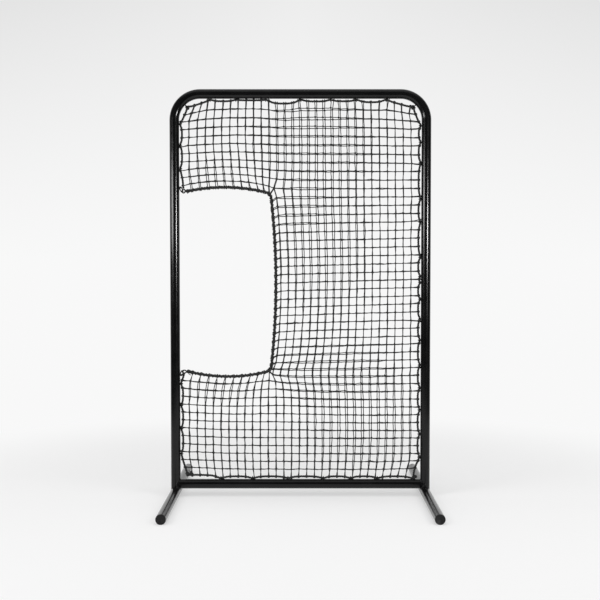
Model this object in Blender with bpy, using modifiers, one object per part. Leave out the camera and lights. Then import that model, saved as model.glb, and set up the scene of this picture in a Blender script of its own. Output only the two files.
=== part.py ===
"""C-shaped pitching screen, a free-standing net frame.

A bent tube hoop stands on two slip-on feet. A net of two plies hangs inside it on an edge rope, which
runs through small rod eyes on the tubes. One side of the net is cut out in a C, and the ball is thrown
through that window.

Metres, +Z up. The origin is on the floor at the middle of the footprint. +X is to the right of someone
who faces the screen, +Y runs away from them, the net hangs in the plane Y = 0, and the window is at -X.
"""

import itertools
import math
from dataclasses import dataclass

import bmesh
import bpy
from mathutils import Matrix, Vector

# Frame
OVERALL_HEIGHT = 2.134
FRAME_WIDTH = 1.365
TUBE_DIAMETER = 0.0508
TUBE_WALL = 0.002
BEND_RADIUS = 0.135
UPRIGHT_TIP_RISE = 0.008
RAIL_OVER_FOOT = 0.003
RAIL_TIP_INSET = 0.008

# Feet
FOOT_LENGTH = 1.2192
SPIGOT_LENGTH = 0.150
SPIGOT_WALL = 0.002
SPIGOT_CLEARANCE = 0.0005
PLUG_HEAD_THICKNESS = 0.004
PLUG_HEAD_ROUNDING = 0.0015
PLUG_RIM_WIDTH = 0.005
PLUG_DISH_DEPTH = 0.0008
PLUG_STEM_LENGTH = 0.020

# Window, measured to the middle of its rope, from the left upright's axis and from the floor
WINDOW_WIDTH = 0.502
WINDOW_HEIGHT = 0.947
WINDOW_SILL = 0.658
WINDOW_TOP_ARCH = 0.026
WINDOW_TOP_DROP = 0.013
WINDOW_SILL_SAG = 0.028
WINDOW_SILL_RISE = 0.005
WINDOW_SIDE_BOW = 0.027
WINDOW_ROPE_DIAMETER = 0.014
WINDOW_CORNER_REACH = 0.026
KNOT_RADIUS = 0.013
KNOT_FROM_UPRIGHT = 0.059

# Edge rope and the eyes that hold it
EDGE_ROPE_DIAMETER = 0.010
ROPE_SEAT = 0.0004
SIDE_BOW = 0.009
CORNER_BOW = 0.002
BOTTOM_BOW = 0.011
ROPE_BOW_PER_SPAN = 0.12
EYE_ROD_DIAMETER = 0.005
EYE_CLEARANCE = 0.0006
EYE_HOLD = 0.004
CORNER_EYE_EXTENSION = 0.012
LEAD_REACH = 0.012
ROPE_CORNER_REACH = 0.022
FREE_CORNER_FROM_UPRIGHT = 0.062
FREE_CORNER_FROM_RAIL = 0.047

# Net: its real meshes, where the window cuts them, and the coarser lattice that stands for them here
NET_COLUMNS = 30
NET_ROWS = 46
WINDOW_COLUMN = 11
WINDOW_ROWS = (11, 33)
LATTICE_COLUMNS = (4, 6)
LATTICE_ROWS = (4, 8, 4)
BAR_WIDTH = 0.004
PLY_THICKNESS = 0.003
PLY_SPACING = 0.0036
LATTICE_CORNER_OFFSET = 0.014

# Places of the ties, in the order that the edge rope passes them, as shares of the straight stretch of
# tube that they stand on: the left upright above the window, the top between its bends, the right upright
# below its bend, the bottom rail from right to left, and the left upright below the window
LEFT_UPPER_TIE_SHARES = (0.0, 0.283, 0.631, 0.943)
TOP_TIE_SHARES = (0.050, 0.178, 0.327, 0.503, 0.651, 0.780, 0.928)
RIGHT_UPPER_TIE_SHARES = (0.015, 0.060, 0.116, 0.215, 0.278, 0.374, 0.427, 0.443)
RIGHT_LOWER_TIE_SHARES = (0.489, 0.544, 0.602, 0.671, 0.734, 0.795, 0.862, 0.926)
BOTTOM_TIE_SHARES = (0.050, 0.191, 0.299, 0.408, 0.550, 0.692, 0.819)
LEFT_LOWER_TIE_SHARES = (0.275, 0.504, 0.718, 0.917, 1.0)

# Bow of the edge rope in each span between the ties along the top, from left to right
TOP_BOWS = (0.007, 0.002, 0.019, 0.008, 0.007, 0.012)

# Fineness of the round pieces, and the gap left between pieces that touch
TUBE_SIDES = 24
BEND_STEPS = 10
ROPE_SIDES = 6
WINDOW_ROPE_SIDES = 8
EYE_SIDES = 6
EYE_CROWN_STEPS = 5
WINDOW_ROPE_STEPS = 10
CORNER_STEPS = 3
SEAT_GAP = 0.0003

# Lines that the frame's sizes give
TUBE_RADIUS = TUBE_DIAMETER / 2
TUBE_FLAT = math.cos(math.pi / TUBE_SIDES)
UPRIGHT_X = FRAME_WIDTH / 2 - TUBE_RADIUS
TOP_AXIS_Z = OVERALL_HEIGHT - TUBE_RADIUS
FOOT_AXIS_Z = TUBE_RADIUS * TUBE_FLAT
RAIL_AXIS_Z = FOOT_AXIS_Z + math.sqrt(2) * TUBE_RADIUS + RAIL_OVER_FOOT
EDGE_ROPE_RADIUS = EDGE_ROPE_DIAMETER / 2
WINDOW_ROPE_RADIUS = WINDOW_ROPE_DIAMETER / 2
ROPE_AXIS_OFFSET = TUBE_RADIUS + ROPE_SEAT + EDGE_ROPE_RADIUS
EYE_LEG_OFFSET = EDGE_ROPE_RADIUS + EYE_CLEARANCE + EYE_ROD_DIAMETER / 2
EDGE_LINE_OFFSET = ROPE_AXIS_OFFSET + SIDE_BOW * 2 / math.pi
NET_SIDE_X = UPRIGHT_X - EDGE_LINE_OFFSET
NET_TOP_Z = TOP_AXIS_Z - EDGE_LINE_OFFSET
NET_BOTTOM_Z = RAIL_AXIS_Z + EDGE_LINE_OFFSET
KNOT_X = KNOT_FROM_UPRIGHT - UPRIGHT_X
WINDOW_SIDE_X = WINDOW_WIDTH - UPRIGHT_X
WINDOW_TOP_Z = WINDOW_SILL + WINDOW_HEIGHT
SIDES = {"left": -UPRIGHT_X, "right": UPRIGHT_X}

# Length of the round cutters that cope one tube to another, long enough to pass any of them
CUTTER_REACH = 4 * TUBE_DIAMETER

PARTS_NAME = "c_shaped_pitching_screen"

# Colour, roughness and metallic value of each finish
FINISHES = {
    "frame_powder_coat": ((0.012, 0.012, 0.013), 0.28, 0.0),
    "spigot_steel": ((0.45, 0.46, 0.47), 0.40, 1.0),
    "plug_plastic": ((0.025, 0.025, 0.026), 0.60, 0.0),
    "eye_powder_coat": ((0.012, 0.012, 0.013), 0.32, 0.0),
    "rope_fibre": ((0.016, 0.016, 0.017), 0.85, 0.0),
    "net_twine": ((0.022, 0.022, 0.024), 0.80, 0.0),
}


@dataclass
class Tie:
    """One place where an eye holds the edge rope: its tube, a point on that tube's axis, two directions.

    The extension is how much longer the eye's legs are than they need to be to clear the rope.
    """

    tube: str
    axis_point: Vector
    inward: Vector
    along: Vector
    extension: float = 0.0

    @property
    def rope_point(self):
        return self.axis_point + self.inward * (ROPE_AXIS_OFFSET + self.extension)


@dataclass
class Route:
    """A rope's centreline in the net's plane, and the rope's radius."""

    points: list
    radius: float


# Scene helpers


def clear_scene():
    for old in list(bpy.data.objects):
        bpy.data.objects.remove(old)


def new_collection(name):
    group = bpy.data.collections.new(name)
    bpy.context.scene.collection.children.link(group)
    return group


def finish(name):
    """The material of that name, made on its first use."""
    if name in bpy.data.materials:
        return bpy.data.materials[name]
    colour, roughness, metallic = FINISHES[name]
    material = bpy.data.materials.new(name)
    material.use_nodes = True
    shader = material.node_tree.nodes["Principled BSDF"]
    shader.inputs["Base Color"].default_value = (*colour, 1.0)
    shader.inputs["Roughness"].default_value = roughness
    shader.inputs["Metallic"].default_value = metallic
    return material


def add_object(name, data, group, finish_name=None):
    """An object that shows the data, in the group, with its finish."""
    thing = bpy.data.objects.new(name, data)
    group.objects.link(thing)
    if finish_name and not data.materials:
        data.materials.append(finish(finish_name))
    return thing


def shade_round(mesh):
    mesh.shade_smooth()
    mesh.set_sharp_from_angle(angle=math.radians(35))


# Shape helpers


def finished_mesh(name, shape):
    mesh = bpy.data.meshes.new(name)
    shape.to_mesh(mesh)
    shape.free()
    shade_round(mesh)
    return mesh


def cylinder(name, radius, length, closed):
    """A tube's outer surface on the Z axis, closed or open at its ends, with a flat towards +X and -X."""
    shape = bmesh.new()
    bmesh.ops.create_cone(
        shape, cap_ends=closed, segments=TUBE_SIDES, radius1=radius, radius2=radius, depth=length
    )
    bmesh.ops.rotate(shape, verts=shape.verts, matrix=Matrix.Rotation(math.pi / TUBE_SIDES, 3, "Z"))
    return finished_mesh(name, shape)


def swept_curve(name, points, radius, sides, capped=True):
    """A round tube along a polyline."""
    curve = bpy.data.curves.new(name, "CURVE")
    curve.dimensions = "3D"
    curve.bevel_depth = radius
    curve.bevel_resolution = (sides - 4) // 2
    curve.use_fill_caps = capped
    spline = curve.splines.new("POLY")
    spline.points.add(len(points) - 1)
    for point, place in zip(spline.points, points):
        point.co = (*place, 1.0)
    return curve


def mesh_of(thing):
    """The evaluated mesh of an object, welded; the object itself is removed."""
    bpy.context.view_layer.update()
    evaluated = thing.evaluated_get(bpy.context.evaluated_depsgraph_get())
    mesh = bpy.data.meshes.new_from_object(evaluated)
    mesh.name = thing.name
    bpy.data.objects.remove(thing)
    shape = bmesh.new()
    shape.from_mesh(mesh)
    bmesh.ops.remove_doubles(shape, verts=shape.verts, dist=1e-6)
    bmesh.ops.recalc_face_normals(shape, faces=shape.faces)
    shape.to_mesh(mesh)
    shape.free()
    return mesh


def add_wall(thing, thickness):
    """Gives an open surface a wall that grows inwards."""
    wall = thing.modifiers.new("wall", "SOLIDIFY")
    wall.thickness = thickness
    wall.offset = -1.0
    wall.use_even_offset = True


def add_cut(thing, cutter):
    cut = thing.modifiers.new("cut_" + cutter.name, "BOOLEAN")
    cut.operation = "DIFFERENCE"
    cut.object = cutter


def add_cutter(name, mesh, group, place):
    cutter = add_object(name, mesh, group)
    cutter.matrix_world = place
    cutter.hide_render = True
    cutter.display_type = "WIRE"
    return cutter


def like_cutter_radius(radius):
    """Corner radius of a cutter faceted as the tube it stands for: its flats clear the tube's by the gap."""
    return radius + SEAT_GAP / TUBE_FLAT


def round_cutter_radius(radius):
    """Corner radius of a cutter whose flats clear the tube however its facets are turned."""
    return (radius + SEAT_GAP) / TUBE_FLAT


def rounded(points, reach):
    """The polyline with each sharp corner replaced by a short curve that starts a reach before it."""
    smooth = [points[0]]
    for before, corner, after in zip(points, points[1:], points[2:]):
        back = before - corner
        ahead = after - corner
        if back.angle(ahead) > math.radians(130):
            smooth.append(corner)
            continue
        start = corner + back.normalized() * min(reach, back.length * 0.5)
        end = corner + ahead.normalized() * min(reach, ahead.length * 0.5)
        for step in range(CORNER_STEPS + 1):
            t = step / CORNER_STEPS
            smooth.append(start.lerp(corner, t).lerp(corner.lerp(end, t), t))
    smooth.append(points[-1])
    return smooth


# The window's outline, along the middle of its rope


def window_top_z(x):
    """Height of the window's top rope, which arches, and of its level continuation into the net."""
    t = min(max((x - KNOT_X) / (WINDOW_SIDE_X - KNOT_X), 0.0), 1.0)
    return WINDOW_TOP_Z + WINDOW_TOP_ARCH * 4 * t * (1 - t) - WINDOW_TOP_DROP * t


def window_sill_z(x):
    """Height of the window's sill rope, which sags, and of its level continuation into the net."""
    t = min(max((x - KNOT_X) / (WINDOW_SIDE_X - KNOT_X), 0.0), 1.0)
    return WINDOW_SILL - WINDOW_SILL_SAG * 4 * t * (1 - t) + WINDOW_SILL_RISE * t


def window_side_x(z):
    """Place across the frame of the window's side rope, which bows into the net."""
    t = min(max((z - WINDOW_SILL) / WINDOW_HEIGHT, 0.0), 1.0)
    return WINDOW_SIDE_X + WINDOW_SIDE_BOW * 4 * t * (1 - t)


# Ropes and their ties


def row_z(row):
    """Height of a row line of the net, at its outer edges."""
    top_row, sill_row = WINDOW_ROWS
    if row <= top_row:
        return NET_TOP_Z + (WINDOW_TOP_Z - NET_TOP_Z) * row / top_row
    if row <= sill_row:
        return WINDOW_TOP_Z - WINDOW_HEIGHT * (row - top_row) / (sill_row - top_row)
    return WINDOW_SILL + (NET_BOTTOM_Z - WINDOW_SILL) * (row - sill_row) / (NET_ROWS - sill_row)


def in_plane(x, z):
    """A point or a direction in the net's plane."""
    return Vector((x, 0, z))


def ties_along(tube, start, end, inward, shares):
    """Ties at these shares of a straight stretch of tube axis, which the rope passes from start to end."""
    along = (end - start).normalized()
    return [Tie(tube, start.lerp(end, share), inward, along) for share in shares]


def corner_tie(side):
    """The tie at the middle of a top bend, whose longer eye lets the rope cut the corner."""
    sign = -1 if side == "left" else 1
    slope = math.sqrt(0.5)
    outward = Vector((sign * slope, 0, slope))
    bend_centre = Vector((sign * (UPRIGHT_X - BEND_RADIUS), 0, TOP_AXIS_Z - BEND_RADIUS))
    axis_point = bend_centre + outward * BEND_RADIUS
    along = Vector((slope, 0, -sign * slope))
    return Tie(side + "_corner", axis_point, -outward, along, CORNER_EYE_EXTENSION)


def tie_runs():
    """The ties in three runs, which the rope passes in this order: hoop, bottom rail, left upright."""
    right = in_plane(UPRIGHT_X, 0)
    above_window = in_plane(0, WINDOW_TOP_Z + LEAD_REACH + EYE_HOLD)
    below_window = in_plane(0, WINDOW_SILL - LEAD_REACH - EYE_HOLD)
    bend_end = in_plane(0, TOP_AXIS_Z - BEND_RADIUS)
    top = in_plane(0, TOP_AXIS_Z)
    top_end = in_plane(UPRIGHT_X - BEND_RADIUS, 0)
    rail = in_plane(0, RAIL_AXIS_Z)
    rightward, upward = in_plane(1, 0), in_plane(0, 1)

    hoop = ties_along("left", above_window - right, bend_end - right, rightward, LEFT_UPPER_TIE_SHARES)
    hoop.append(corner_tie("left"))
    hoop += ties_along("top", top - top_end, top + top_end, -upward, TOP_TIE_SHARES)
    hoop.append(corner_tie("right"))
    right_shares = RIGHT_UPPER_TIE_SHARES + RIGHT_LOWER_TIE_SHARES
    hoop += ties_along("right", bend_end + right, rail + right, -rightward, right_shares)
    bottom = ties_along("bottom", rail + right, rail - right, upward, BOTTOM_TIE_SHARES)
    left = ties_along("left", rail - right, below_window - right, rightward, LEFT_LOWER_TIE_SHARES)
    return hoop, bottom, left


def span_bows(ties):
    """The bow of the rope in each span between a run of ties."""
    top_bows = iter(TOP_BOWS)
    bows = []
    for here, there in zip(ties, ties[1:]):
        if here.tube != there.tube:
            bows.append(CORNER_BOW)
        elif here.tube == "top":
            bows.append(next(top_bows))
        else:
            bows.append(BOTTOM_BOW if here.tube == "bottom" else SIDE_BOW)
    return bows


def held_points(ties):
    """The rope through a run of ties: straight in each eye, and bowed into the net between them."""
    points = []
    for here, there, span_bow in zip(ties, ties[1:], span_bows(ties)):
        start = here.rope_point + here.along * EYE_HOLD
        end = there.rope_point - there.along * EYE_HOLD
        inward = (here.inward + there.inward).normalized()
        bow = min(span_bow, ROPE_BOW_PER_SPAN * (end - start).length)
        points += [here.rope_point - here.along * EYE_HOLD, start]
        points += [start.lerp(end, t) + inward * bow * math.sin(math.pi * t) for t in (0.25, 0.5, 0.75)]
    last = ties[-1]
    return points + [last.rope_point - last.along * EYE_HOLD, last.rope_point + last.along * EYE_HOLD]


def edge_rope_route():
    """From the upper knot round the hoop and along the bottom rail to the lower knot."""
    hoop, rail, left = tie_runs()
    knot_side = Vector((KNOT_X - KNOT_RADIUS - SEAT_GAP, 0, 0))
    turn_x = hoop[0].rope_point.x
    corner_z = rail[0].rope_point.z
    corner_x = UPRIGHT_X - FREE_CORNER_FROM_UPRIGHT
    points = [knot_side + Vector((0, 0, WINDOW_TOP_Z)), Vector((turn_x, 0, WINDOW_TOP_Z))]
    points += held_points(hoop)
    points.append(Vector((corner_x + ROPE_CORNER_REACH / 2, 0, corner_z)))
    points += held_points(rail)
    points.append(Vector((-corner_x, 0, RAIL_AXIS_Z + FREE_CORNER_FROM_RAIL)))
    points += held_points(left)
    points += [Vector((turn_x, 0, WINDOW_SILL)), knot_side + Vector((0, 0, WINDOW_SILL))]
    return Route(rounded(points, ROPE_CORNER_REACH), EDGE_ROPE_RADIUS)


def eye_crowns():
    """The crown of each eye, as a short straight route, wide enough to stop any bar that would touch it."""
    crowns = []
    for tie in itertools.chain(*tie_runs()):
        middle = tie.rope_point + tie.inward * EYE_LEG_OFFSET
        half = tie.along * (EYE_ROD_DIAMETER / 2 + BAR_WIDTH + SEAT_GAP)
        crowns.append(Route([middle - half, middle + half], EYE_ROD_DIAMETER / 2))
    return crowns


def window_rope_route():
    """From the upper knot along the window's top, down its side and back along its sill."""
    knot_end_x = KNOT_X + KNOT_RADIUS + SEAT_GAP
    steps = [step / WINDOW_ROPE_STEPS for step in range(WINDOW_ROPE_STEPS + 1)]
    across = [knot_end_x + (WINDOW_SIDE_X - knot_end_x) * t for t in steps]
    down = [WINDOW_TOP_Z - WINDOW_TOP_DROP - (WINDOW_HEIGHT - WINDOW_TOP_DROP) * t for t in steps[1:-1]]
    points = [Vector((x, 0, window_top_z(x))) for x in across]
    points += [Vector((window_side_x(z), 0, z)) for z in down]
    points += [Vector((x, 0, window_sill_z(x))) for x in reversed(across)]
    return Route(rounded(points, WINDOW_CORNER_REACH), WINDOW_ROPE_RADIUS)


# Frame


def hoop_line():
    """The hoop's axis, up the left upright, round both bends and down the right upright."""
    tip_z = FOOT_AXIS_Z + UPRIGHT_TIP_RISE
    bend_x = UPRIGHT_X - BEND_RADIUS
    bend_z = TOP_AXIS_Z - BEND_RADIUS
    points = [Vector((-UPRIGHT_X, 0, tip_z))]
    for centre_x, first in ((-bend_x, math.pi), (bend_x, math.pi / 2)):
        for step in range(BEND_STEPS + 1):
            angle = first - step / BEND_STEPS * math.pi / 2
            offset = Vector((math.cos(angle), 0, math.sin(angle))) * BEND_RADIUS
            points.append(Vector((centre_x, 0, bend_z)) + offset)
    points.append(Vector((UPRIGHT_X, 0, tip_z)))
    return points


def make_hoop(parts, cutters):
    """The bent tube, with both lower ends coped to sit on the feet."""
    curve = swept_curve("hoop_line", hoop_line(), TUBE_RADIUS, TUBE_SIDES, capped=False)
    tube = mesh_of(add_object("hoop_line", curve, parts))
    hoop = add_object("frame_hoop", tube, parts, "frame_powder_coat")
    shade_round(hoop.data)
    add_wall(hoop, TUBE_WALL)
    for cutter in cutters:
        add_cut(hoop, cutter)


def make_bottom_rail(parts, cutters):
    """The straight rail, coped round both uprights."""
    tube = cylinder("bottom_rail", TUBE_RADIUS, 2 * (UPRIGHT_X - RAIL_TIP_INSET), closed=False)
    rail = add_object("bottom_rail", tube, parts, "frame_powder_coat")
    rail.matrix_world = Matrix.Translation((0, 0, RAIL_AXIS_Z)) @ Matrix.Rotation(math.pi / 2, 4, "Y")
    add_wall(rail, TUBE_WALL)
    for cutter in cutters:
        add_cut(rail, cutter)


def foot_place(x):
    """The place of a foot's cylinder, which lies along Y with a flat on the floor."""
    lie_down = Matrix.Rotation(math.pi / 2, 4, "X")
    return Matrix.Translation((x, 0, FOOT_AXIS_Z)) @ lie_down


def make_foot(side, x, parts):
    """A foot tube, which stops short of its two plugs' heads."""
    tube_length = FOOT_LENGTH - 2 * (PLUG_HEAD_THICKNESS + SEAT_GAP)
    tube = cylinder(side + "_foot", TUBE_RADIUS, tube_length, closed=False)
    foot = add_object(side + "_foot", tube, parts, "frame_powder_coat")
    foot.matrix_world = foot_place(x)
    add_wall(foot, TUBE_WALL)


def make_spigot(side, x, parts, foot_cutter):
    """The stub tube that stands on a foot, coped to its crown, and slips into the upright."""
    radius = TUBE_RADIUS - TUBE_WALL - SPIGOT_CLEARANCE
    height = TUBE_RADIUS * TUBE_FLAT + SPIGOT_LENGTH
    tube = cylinder(side + "_spigot", radius, height, closed=False)
    spigot = add_object(side + "_spigot", tube, parts, "spigot_steel")
    spigot.location = (x, 0, FOOT_AXIS_Z + height / 2)
    add_wall(spigot, SPIGOT_WALL)
    add_cut(spigot, foot_cutter)


def plug_mesh():
    """A round end plug, turned about Z: a dished head with a rounded edge, and a stem behind it."""
    stem_radius = (TUBE_RADIUS - TUBE_WALL / TUBE_FLAT) * TUBE_FLAT - SEAT_GAP
    dish_radius = TUBE_RADIUS - PLUG_HEAD_ROUNDING - PLUG_RIM_WIDTH
    profile = [
        (0, PLUG_HEAD_THICKNESS - PLUG_DISH_DEPTH),
        (dish_radius, PLUG_HEAD_THICKNESS - PLUG_DISH_DEPTH),
        (dish_radius + PLUG_DISH_DEPTH, PLUG_HEAD_THICKNESS),
        (TUBE_RADIUS - PLUG_HEAD_ROUNDING, PLUG_HEAD_THICKNESS),
        (TUBE_RADIUS, PLUG_HEAD_THICKNESS - PLUG_HEAD_ROUNDING),
        (TUBE_RADIUS, 0),
        (stem_radius, 0),
        (stem_radius, -PLUG_STEM_LENGTH),
        (0, -PLUG_STEM_LENGTH),
    ]
    mesh = bpy.data.meshes.new("end_plug")
    edges = [(index, index + 1) for index in range(len(profile) - 1)]
    mesh.from_pydata([(x, 0, z) for x, z in profile], edges, [])
    return mesh


def make_plug(name, x, end, mesh, parts):
    """A plug in the front (-1) or the rear (+1) end of a foot."""
    plug = add_object(name, mesh, parts, "plug_plastic")
    face = Matrix.Rotation(-end * math.pi / 2, 4, "X")
    align = Matrix.Rotation(math.pi / TUBE_SIDES, 4, "Z")
    head_y = end * (FOOT_LENGTH / 2 - PLUG_HEAD_THICKNESS)
    plug.matrix_world = Matrix.Translation((x, head_y, FOOT_AXIS_Z)) @ face @ align
    turn = plug.modifiers.new("turn", "SCREW")
    turn.axis = "Z"
    turn.steps = TUBE_SIDES
    turn.render_steps = TUBE_SIDES
    turn.use_merge_vertices = True
    turn.merge_threshold = 1e-5


# Eyes, ropes and knots


def eye_mesh(extension, parts, seat_cutter):
    """A bent rod whose two legs are coped to the tube. X points into the net, Z along the tube."""
    buried_x = TUBE_RADIUS - EYE_ROD_DIAMETER
    points = [Vector((buried_x, -EYE_LEG_OFFSET, 0))]
    for step in range(EYE_CROWN_STEPS + 1):
        angle = -math.pi / 2 + math.pi * step / EYE_CROWN_STEPS
        crown = Vector((math.cos(angle), math.sin(angle), 0)) * EYE_LEG_OFFSET
        points.append(Vector((ROPE_AXIS_OFFSET + extension, 0, 0)) + crown)
    points.append(Vector((buried_x, EYE_LEG_OFFSET, 0)))
    guide = add_object("eye_line", swept_curve("eye_line", points, EYE_ROD_DIAMETER / 2, EYE_SIDES), parts)
    rod = add_object("eye_rod", mesh_of(guide), parts)
    add_cut(rod, seat_cutter)
    mesh = mesh_of(rod)
    mesh.name = "rope_eye"
    shade_round(mesh)
    return mesh


def make_eyes(parts, cutters):
    """One eye for each tie, named by the tube that it stands on and its number there."""
    seat = cylinder("eye_seat", round_cutter_radius(TUBE_RADIUS), CUTTER_REACH, closed=True)
    seat_cutter = add_cutter("eye_seat", seat, cutters, Matrix.Identity(4))
    ties = list(itertools.chain(*tie_runs()))
    meshes = {
        extension: eye_mesh(extension, parts, seat_cutter) for extension in {tie.extension for tie in ties}
    }
    counts = {}
    for tie in ties:
        counts[tie.tube] = counts.get(tie.tube, 0) + 1
        name = f"{tie.tube}_rope_eye_{counts[tie.tube]:02d}"
        eye = add_object(name, meshes[tie.extension], parts, "eye_powder_coat")
        across = tie.along.cross(tie.inward)
        turn = Matrix((tie.inward, across, tie.along)).transposed().to_4x4()
        eye.matrix_world = Matrix.Translation(tie.axis_point) @ turn


def make_rope(name, route, sides, parts):
    """A rope along its whole held route."""
    add_object(name, swept_curve(name, route.points, route.radius, sides), parts, "rope_fibre")


def make_knot(name, z, parts):
    """A knot at a corner of the window, as a ball between the two ropes."""
    shape = bmesh.new()
    bmesh.ops.create_uvsphere(shape, u_segments=12, v_segments=8, radius=KNOT_RADIUS)
    bmesh.ops.rotate(shape, verts=shape.verts, matrix=Matrix.Rotation(math.pi / 2, 3, "Y"))
    knot = add_object(name, finished_mesh(name, shape), parts, "rope_fibre")
    knot.location = (KNOT_X, 0, z)


# Net


def block_lines(counts, bounds):
    """Where the lattice's lines lie, in meshes: each block between two bounds is cut into equal gaps."""
    lines = []
    for gaps, first, last in zip(counts, bounds, bounds[1:]):
        lines += [first + (last - first) * step / gaps for step in range(1, gaps + 1)]
    return lines[:-1]


def crossing(column, row):
    """The point where a column line and a row line of the net cross, in the net's plane."""
    straight_z = row_z(row)
    side = window_side_x(straight_z) + LATTICE_CORNER_OFFSET
    if column <= WINDOW_COLUMN:
        x = -NET_SIDE_X + (side + NET_SIDE_X) * column / WINDOW_COLUMN
    else:
        x = side + (NET_SIDE_X - side) * (column - WINDOW_COLUMN) / (NET_COLUMNS - WINDOW_COLUMN)
    top = window_top_z(x) + LATTICE_CORNER_OFFSET
    sill = window_sill_z(x) - LATTICE_CORNER_OFFSET
    top_row, sill_row = WINDOW_ROWS
    if row <= top_row:
        z = NET_TOP_Z + (top - NET_TOP_Z) * row / top_row
    elif row <= sill_row:
        z = top + (sill - top) * (row - top_row) / (sill_row - top_row)
    else:
        z = sill + (NET_BOTTOM_Z - sill) * (row - sill_row) / (NET_ROWS - sill_row)
    return x, z


def reach(x, z, direction, routes):
    """Where a bar that runs from (x, z) along +-X or +-Z meets the first rope or eye, less a gap."""
    run, held = (0, 2) if direction[0] else (2, 0)
    bar_start = Vector((x, 0, z))
    sign = direction[0] + direction[1]
    distances = []
    for route in routes:
        for start, end in zip(route.points, route.points[1:]):
            rise = end[held] - start[held]
            if rise == 0 or (start[held] - bar_start[held]) * (end[held] - bar_start[held]) > 0:
                continue
            hit = start.lerp(end, (bar_start[held] - start[held]) / rise)
            slope = (end[run] - start[run]) / rise
            half_width = (route.radius + SEAT_GAP) * math.sqrt(1 + slope * slope)
            distances.append(sign * (hit[run] - bar_start[run]) - half_width)
    nearest = min(distance for distance in distances if distance > 0)
    return x + direction[0] * nearest, z + direction[1] * nearest


def ply_mesh(routes):
    """A flat lattice of bars: a grid of narrow and wide strips with its wide cells taken out.

    Line number i of the lattice has two grid lines, 2 i + 1 and 2 i + 2, one on each side of its bar. The
    first and the last grid line are the bars' free ends, which stop at the ropes and the eyes.
    """
    columns = block_lines(LATTICE_COLUMNS, (0, WINDOW_COLUMN, NET_COLUMNS))
    rows = block_lines(LATTICE_ROWS, (0, *WINDOW_ROWS, NET_ROWS))
    last_column = 2 * len(columns) + 1
    last_row = 2 * len(rows) + 1
    side = 2 * LATTICE_COLUMNS[0]
    top = 2 * LATTICE_ROWS[0] - 1
    sill = top + 2 * LATTICE_ROWS[1] + 1

    def on_bar(index):
        return index % 2 == 1

    def bar_point(i, j):
        x, z = crossing(columns[(i - 1) // 2], rows[(j - 1) // 2])
        return x + (-0.5 if i % 2 else 0.5) * BAR_WIDTH, z + (0.5 if j % 2 else -0.5) * BAR_WIDTH

    def place(i, j):
        if i in (0, last_column) and j in (0, last_row):
            return 0.0, 0.0
        if i in (0, last_column):
            direction = (-1, 0) if i == 0 else (1, 0)
            return reach(*bar_point(1 if i == 0 else i - 1, j), direction, routes)
        if j in (0, last_row):
            direction = (0, 1) if j == 0 else (0, -1)
            return reach(*bar_point(i, 1 if j == 0 else j - 1), direction, routes)
        if i == side and top + 1 < j < sill - 1:
            return reach(*bar_point(i + 1, j), (-1, 0), routes)
        if i < side - 1 and j == top:
            return reach(*bar_point(i, j - 1), (0, -1), routes)
        if i < side - 1 and j == sill:
            return reach(*bar_point(i, j + 1), (0, 1), routes)
        return bar_point(i, j)

    def is_kept(i, j):
        at_corner = i == side - 1 and j in (top, sill - 1)
        in_window = i < side and top <= j < sill and not at_corner
        return (on_bar(i) or on_bar(j)) and not in_window

    shape = bmesh.new()
    bmesh.ops.create_grid(shape, x_segments=last_column, y_segments=last_row, size=0.5)
    indices = {}
    for vertex in shape.verts:
        i = round((vertex.co.x + 0.5) * last_column)
        j = round((0.5 - vertex.co.y) * last_row)
        indices[vertex] = (i, j)
    gaps = []
    for face in shape.faces:
        i = min(indices[vertex][0] for vertex in face.verts)
        j = min(indices[vertex][1] for vertex in face.verts)
        if not is_kept(i, j):
            gaps.append(face)
    bmesh.ops.delete(shape, geom=gaps, context="FACES")
    for vertex in shape.verts:
        x, z = place(*indices[vertex])
        vertex.co = (x, 0, z)
    return finished_mesh("net_ply", shape)


def make_plies(parts, mesh):
    """Two like plies that hang side by side on the ropes."""
    for name, y in (("front_net_ply", -PLY_SPACING / 2), ("rear_net_ply", PLY_SPACING / 2)):
        ply = add_object(name, mesh, parts, "net_twine")
        ply.location.y = y
        thickness = ply.modifiers.new("thickness", "SOLIDIFY")
        thickness.thickness = PLY_THICKNESS
        thickness.offset = 0.0


# The whole screen


def foot_cutters(cutters):
    """The feet, larger by the seat gap, that cope the uprights and the spigots."""
    mesh = cylinder("foot_cutter", like_cutter_radius(TUBE_RADIUS), CUTTER_REACH, closed=True)
    return {
        side: add_cutter(side + "_foot_cutter", mesh, cutters, foot_place(x)) for side, x in SIDES.items()
    }


def upright_cutters(cutters):
    """The uprights, larger by the seat gap, that cope the bottom rail."""
    mesh = cylinder("upright_cutter", round_cutter_radius(TUBE_RADIUS), CUTTER_REACH, closed=True)
    return [
        add_cutter(side + "_upright_cutter", mesh, cutters, Matrix.Translation((x, 0, RAIL_AXIS_Z)))
        for side, x in SIDES.items()
    ]


def main():
    clear_scene()
    parts = new_collection(PARTS_NAME)
    cutters = new_collection("cutters")

    feet = foot_cutters(cutters)
    make_hoop(parts, feet.values())
    make_bottom_rail(parts, upright_cutters(cutters))
    plug = plug_mesh()
    for side, x in SIDES.items():
        make_foot(side, x, parts)
        make_spigot(side, x, parts, feet[side])
        make_plug(side + "_front_plug", x, -1, plug, parts)
        make_plug(side + "_rear_plug", x, 1, plug, parts)

    edge_route = edge_rope_route()
    window_route = window_rope_route()
    make_eyes(parts, cutters)
    make_rope("edge_rope", edge_route, ROPE_SIDES, parts)
    make_rope("window_rope", window_route, WINDOW_ROPE_SIDES, parts)
    make_knot("upper_window_knot", WINDOW_TOP_Z, parts)
    make_knot("lower_window_knot", WINDOW_SILL, parts)
    make_plies(parts, ply_mesh([edge_route, window_route, *eye_crowns()]))


main()
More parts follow.
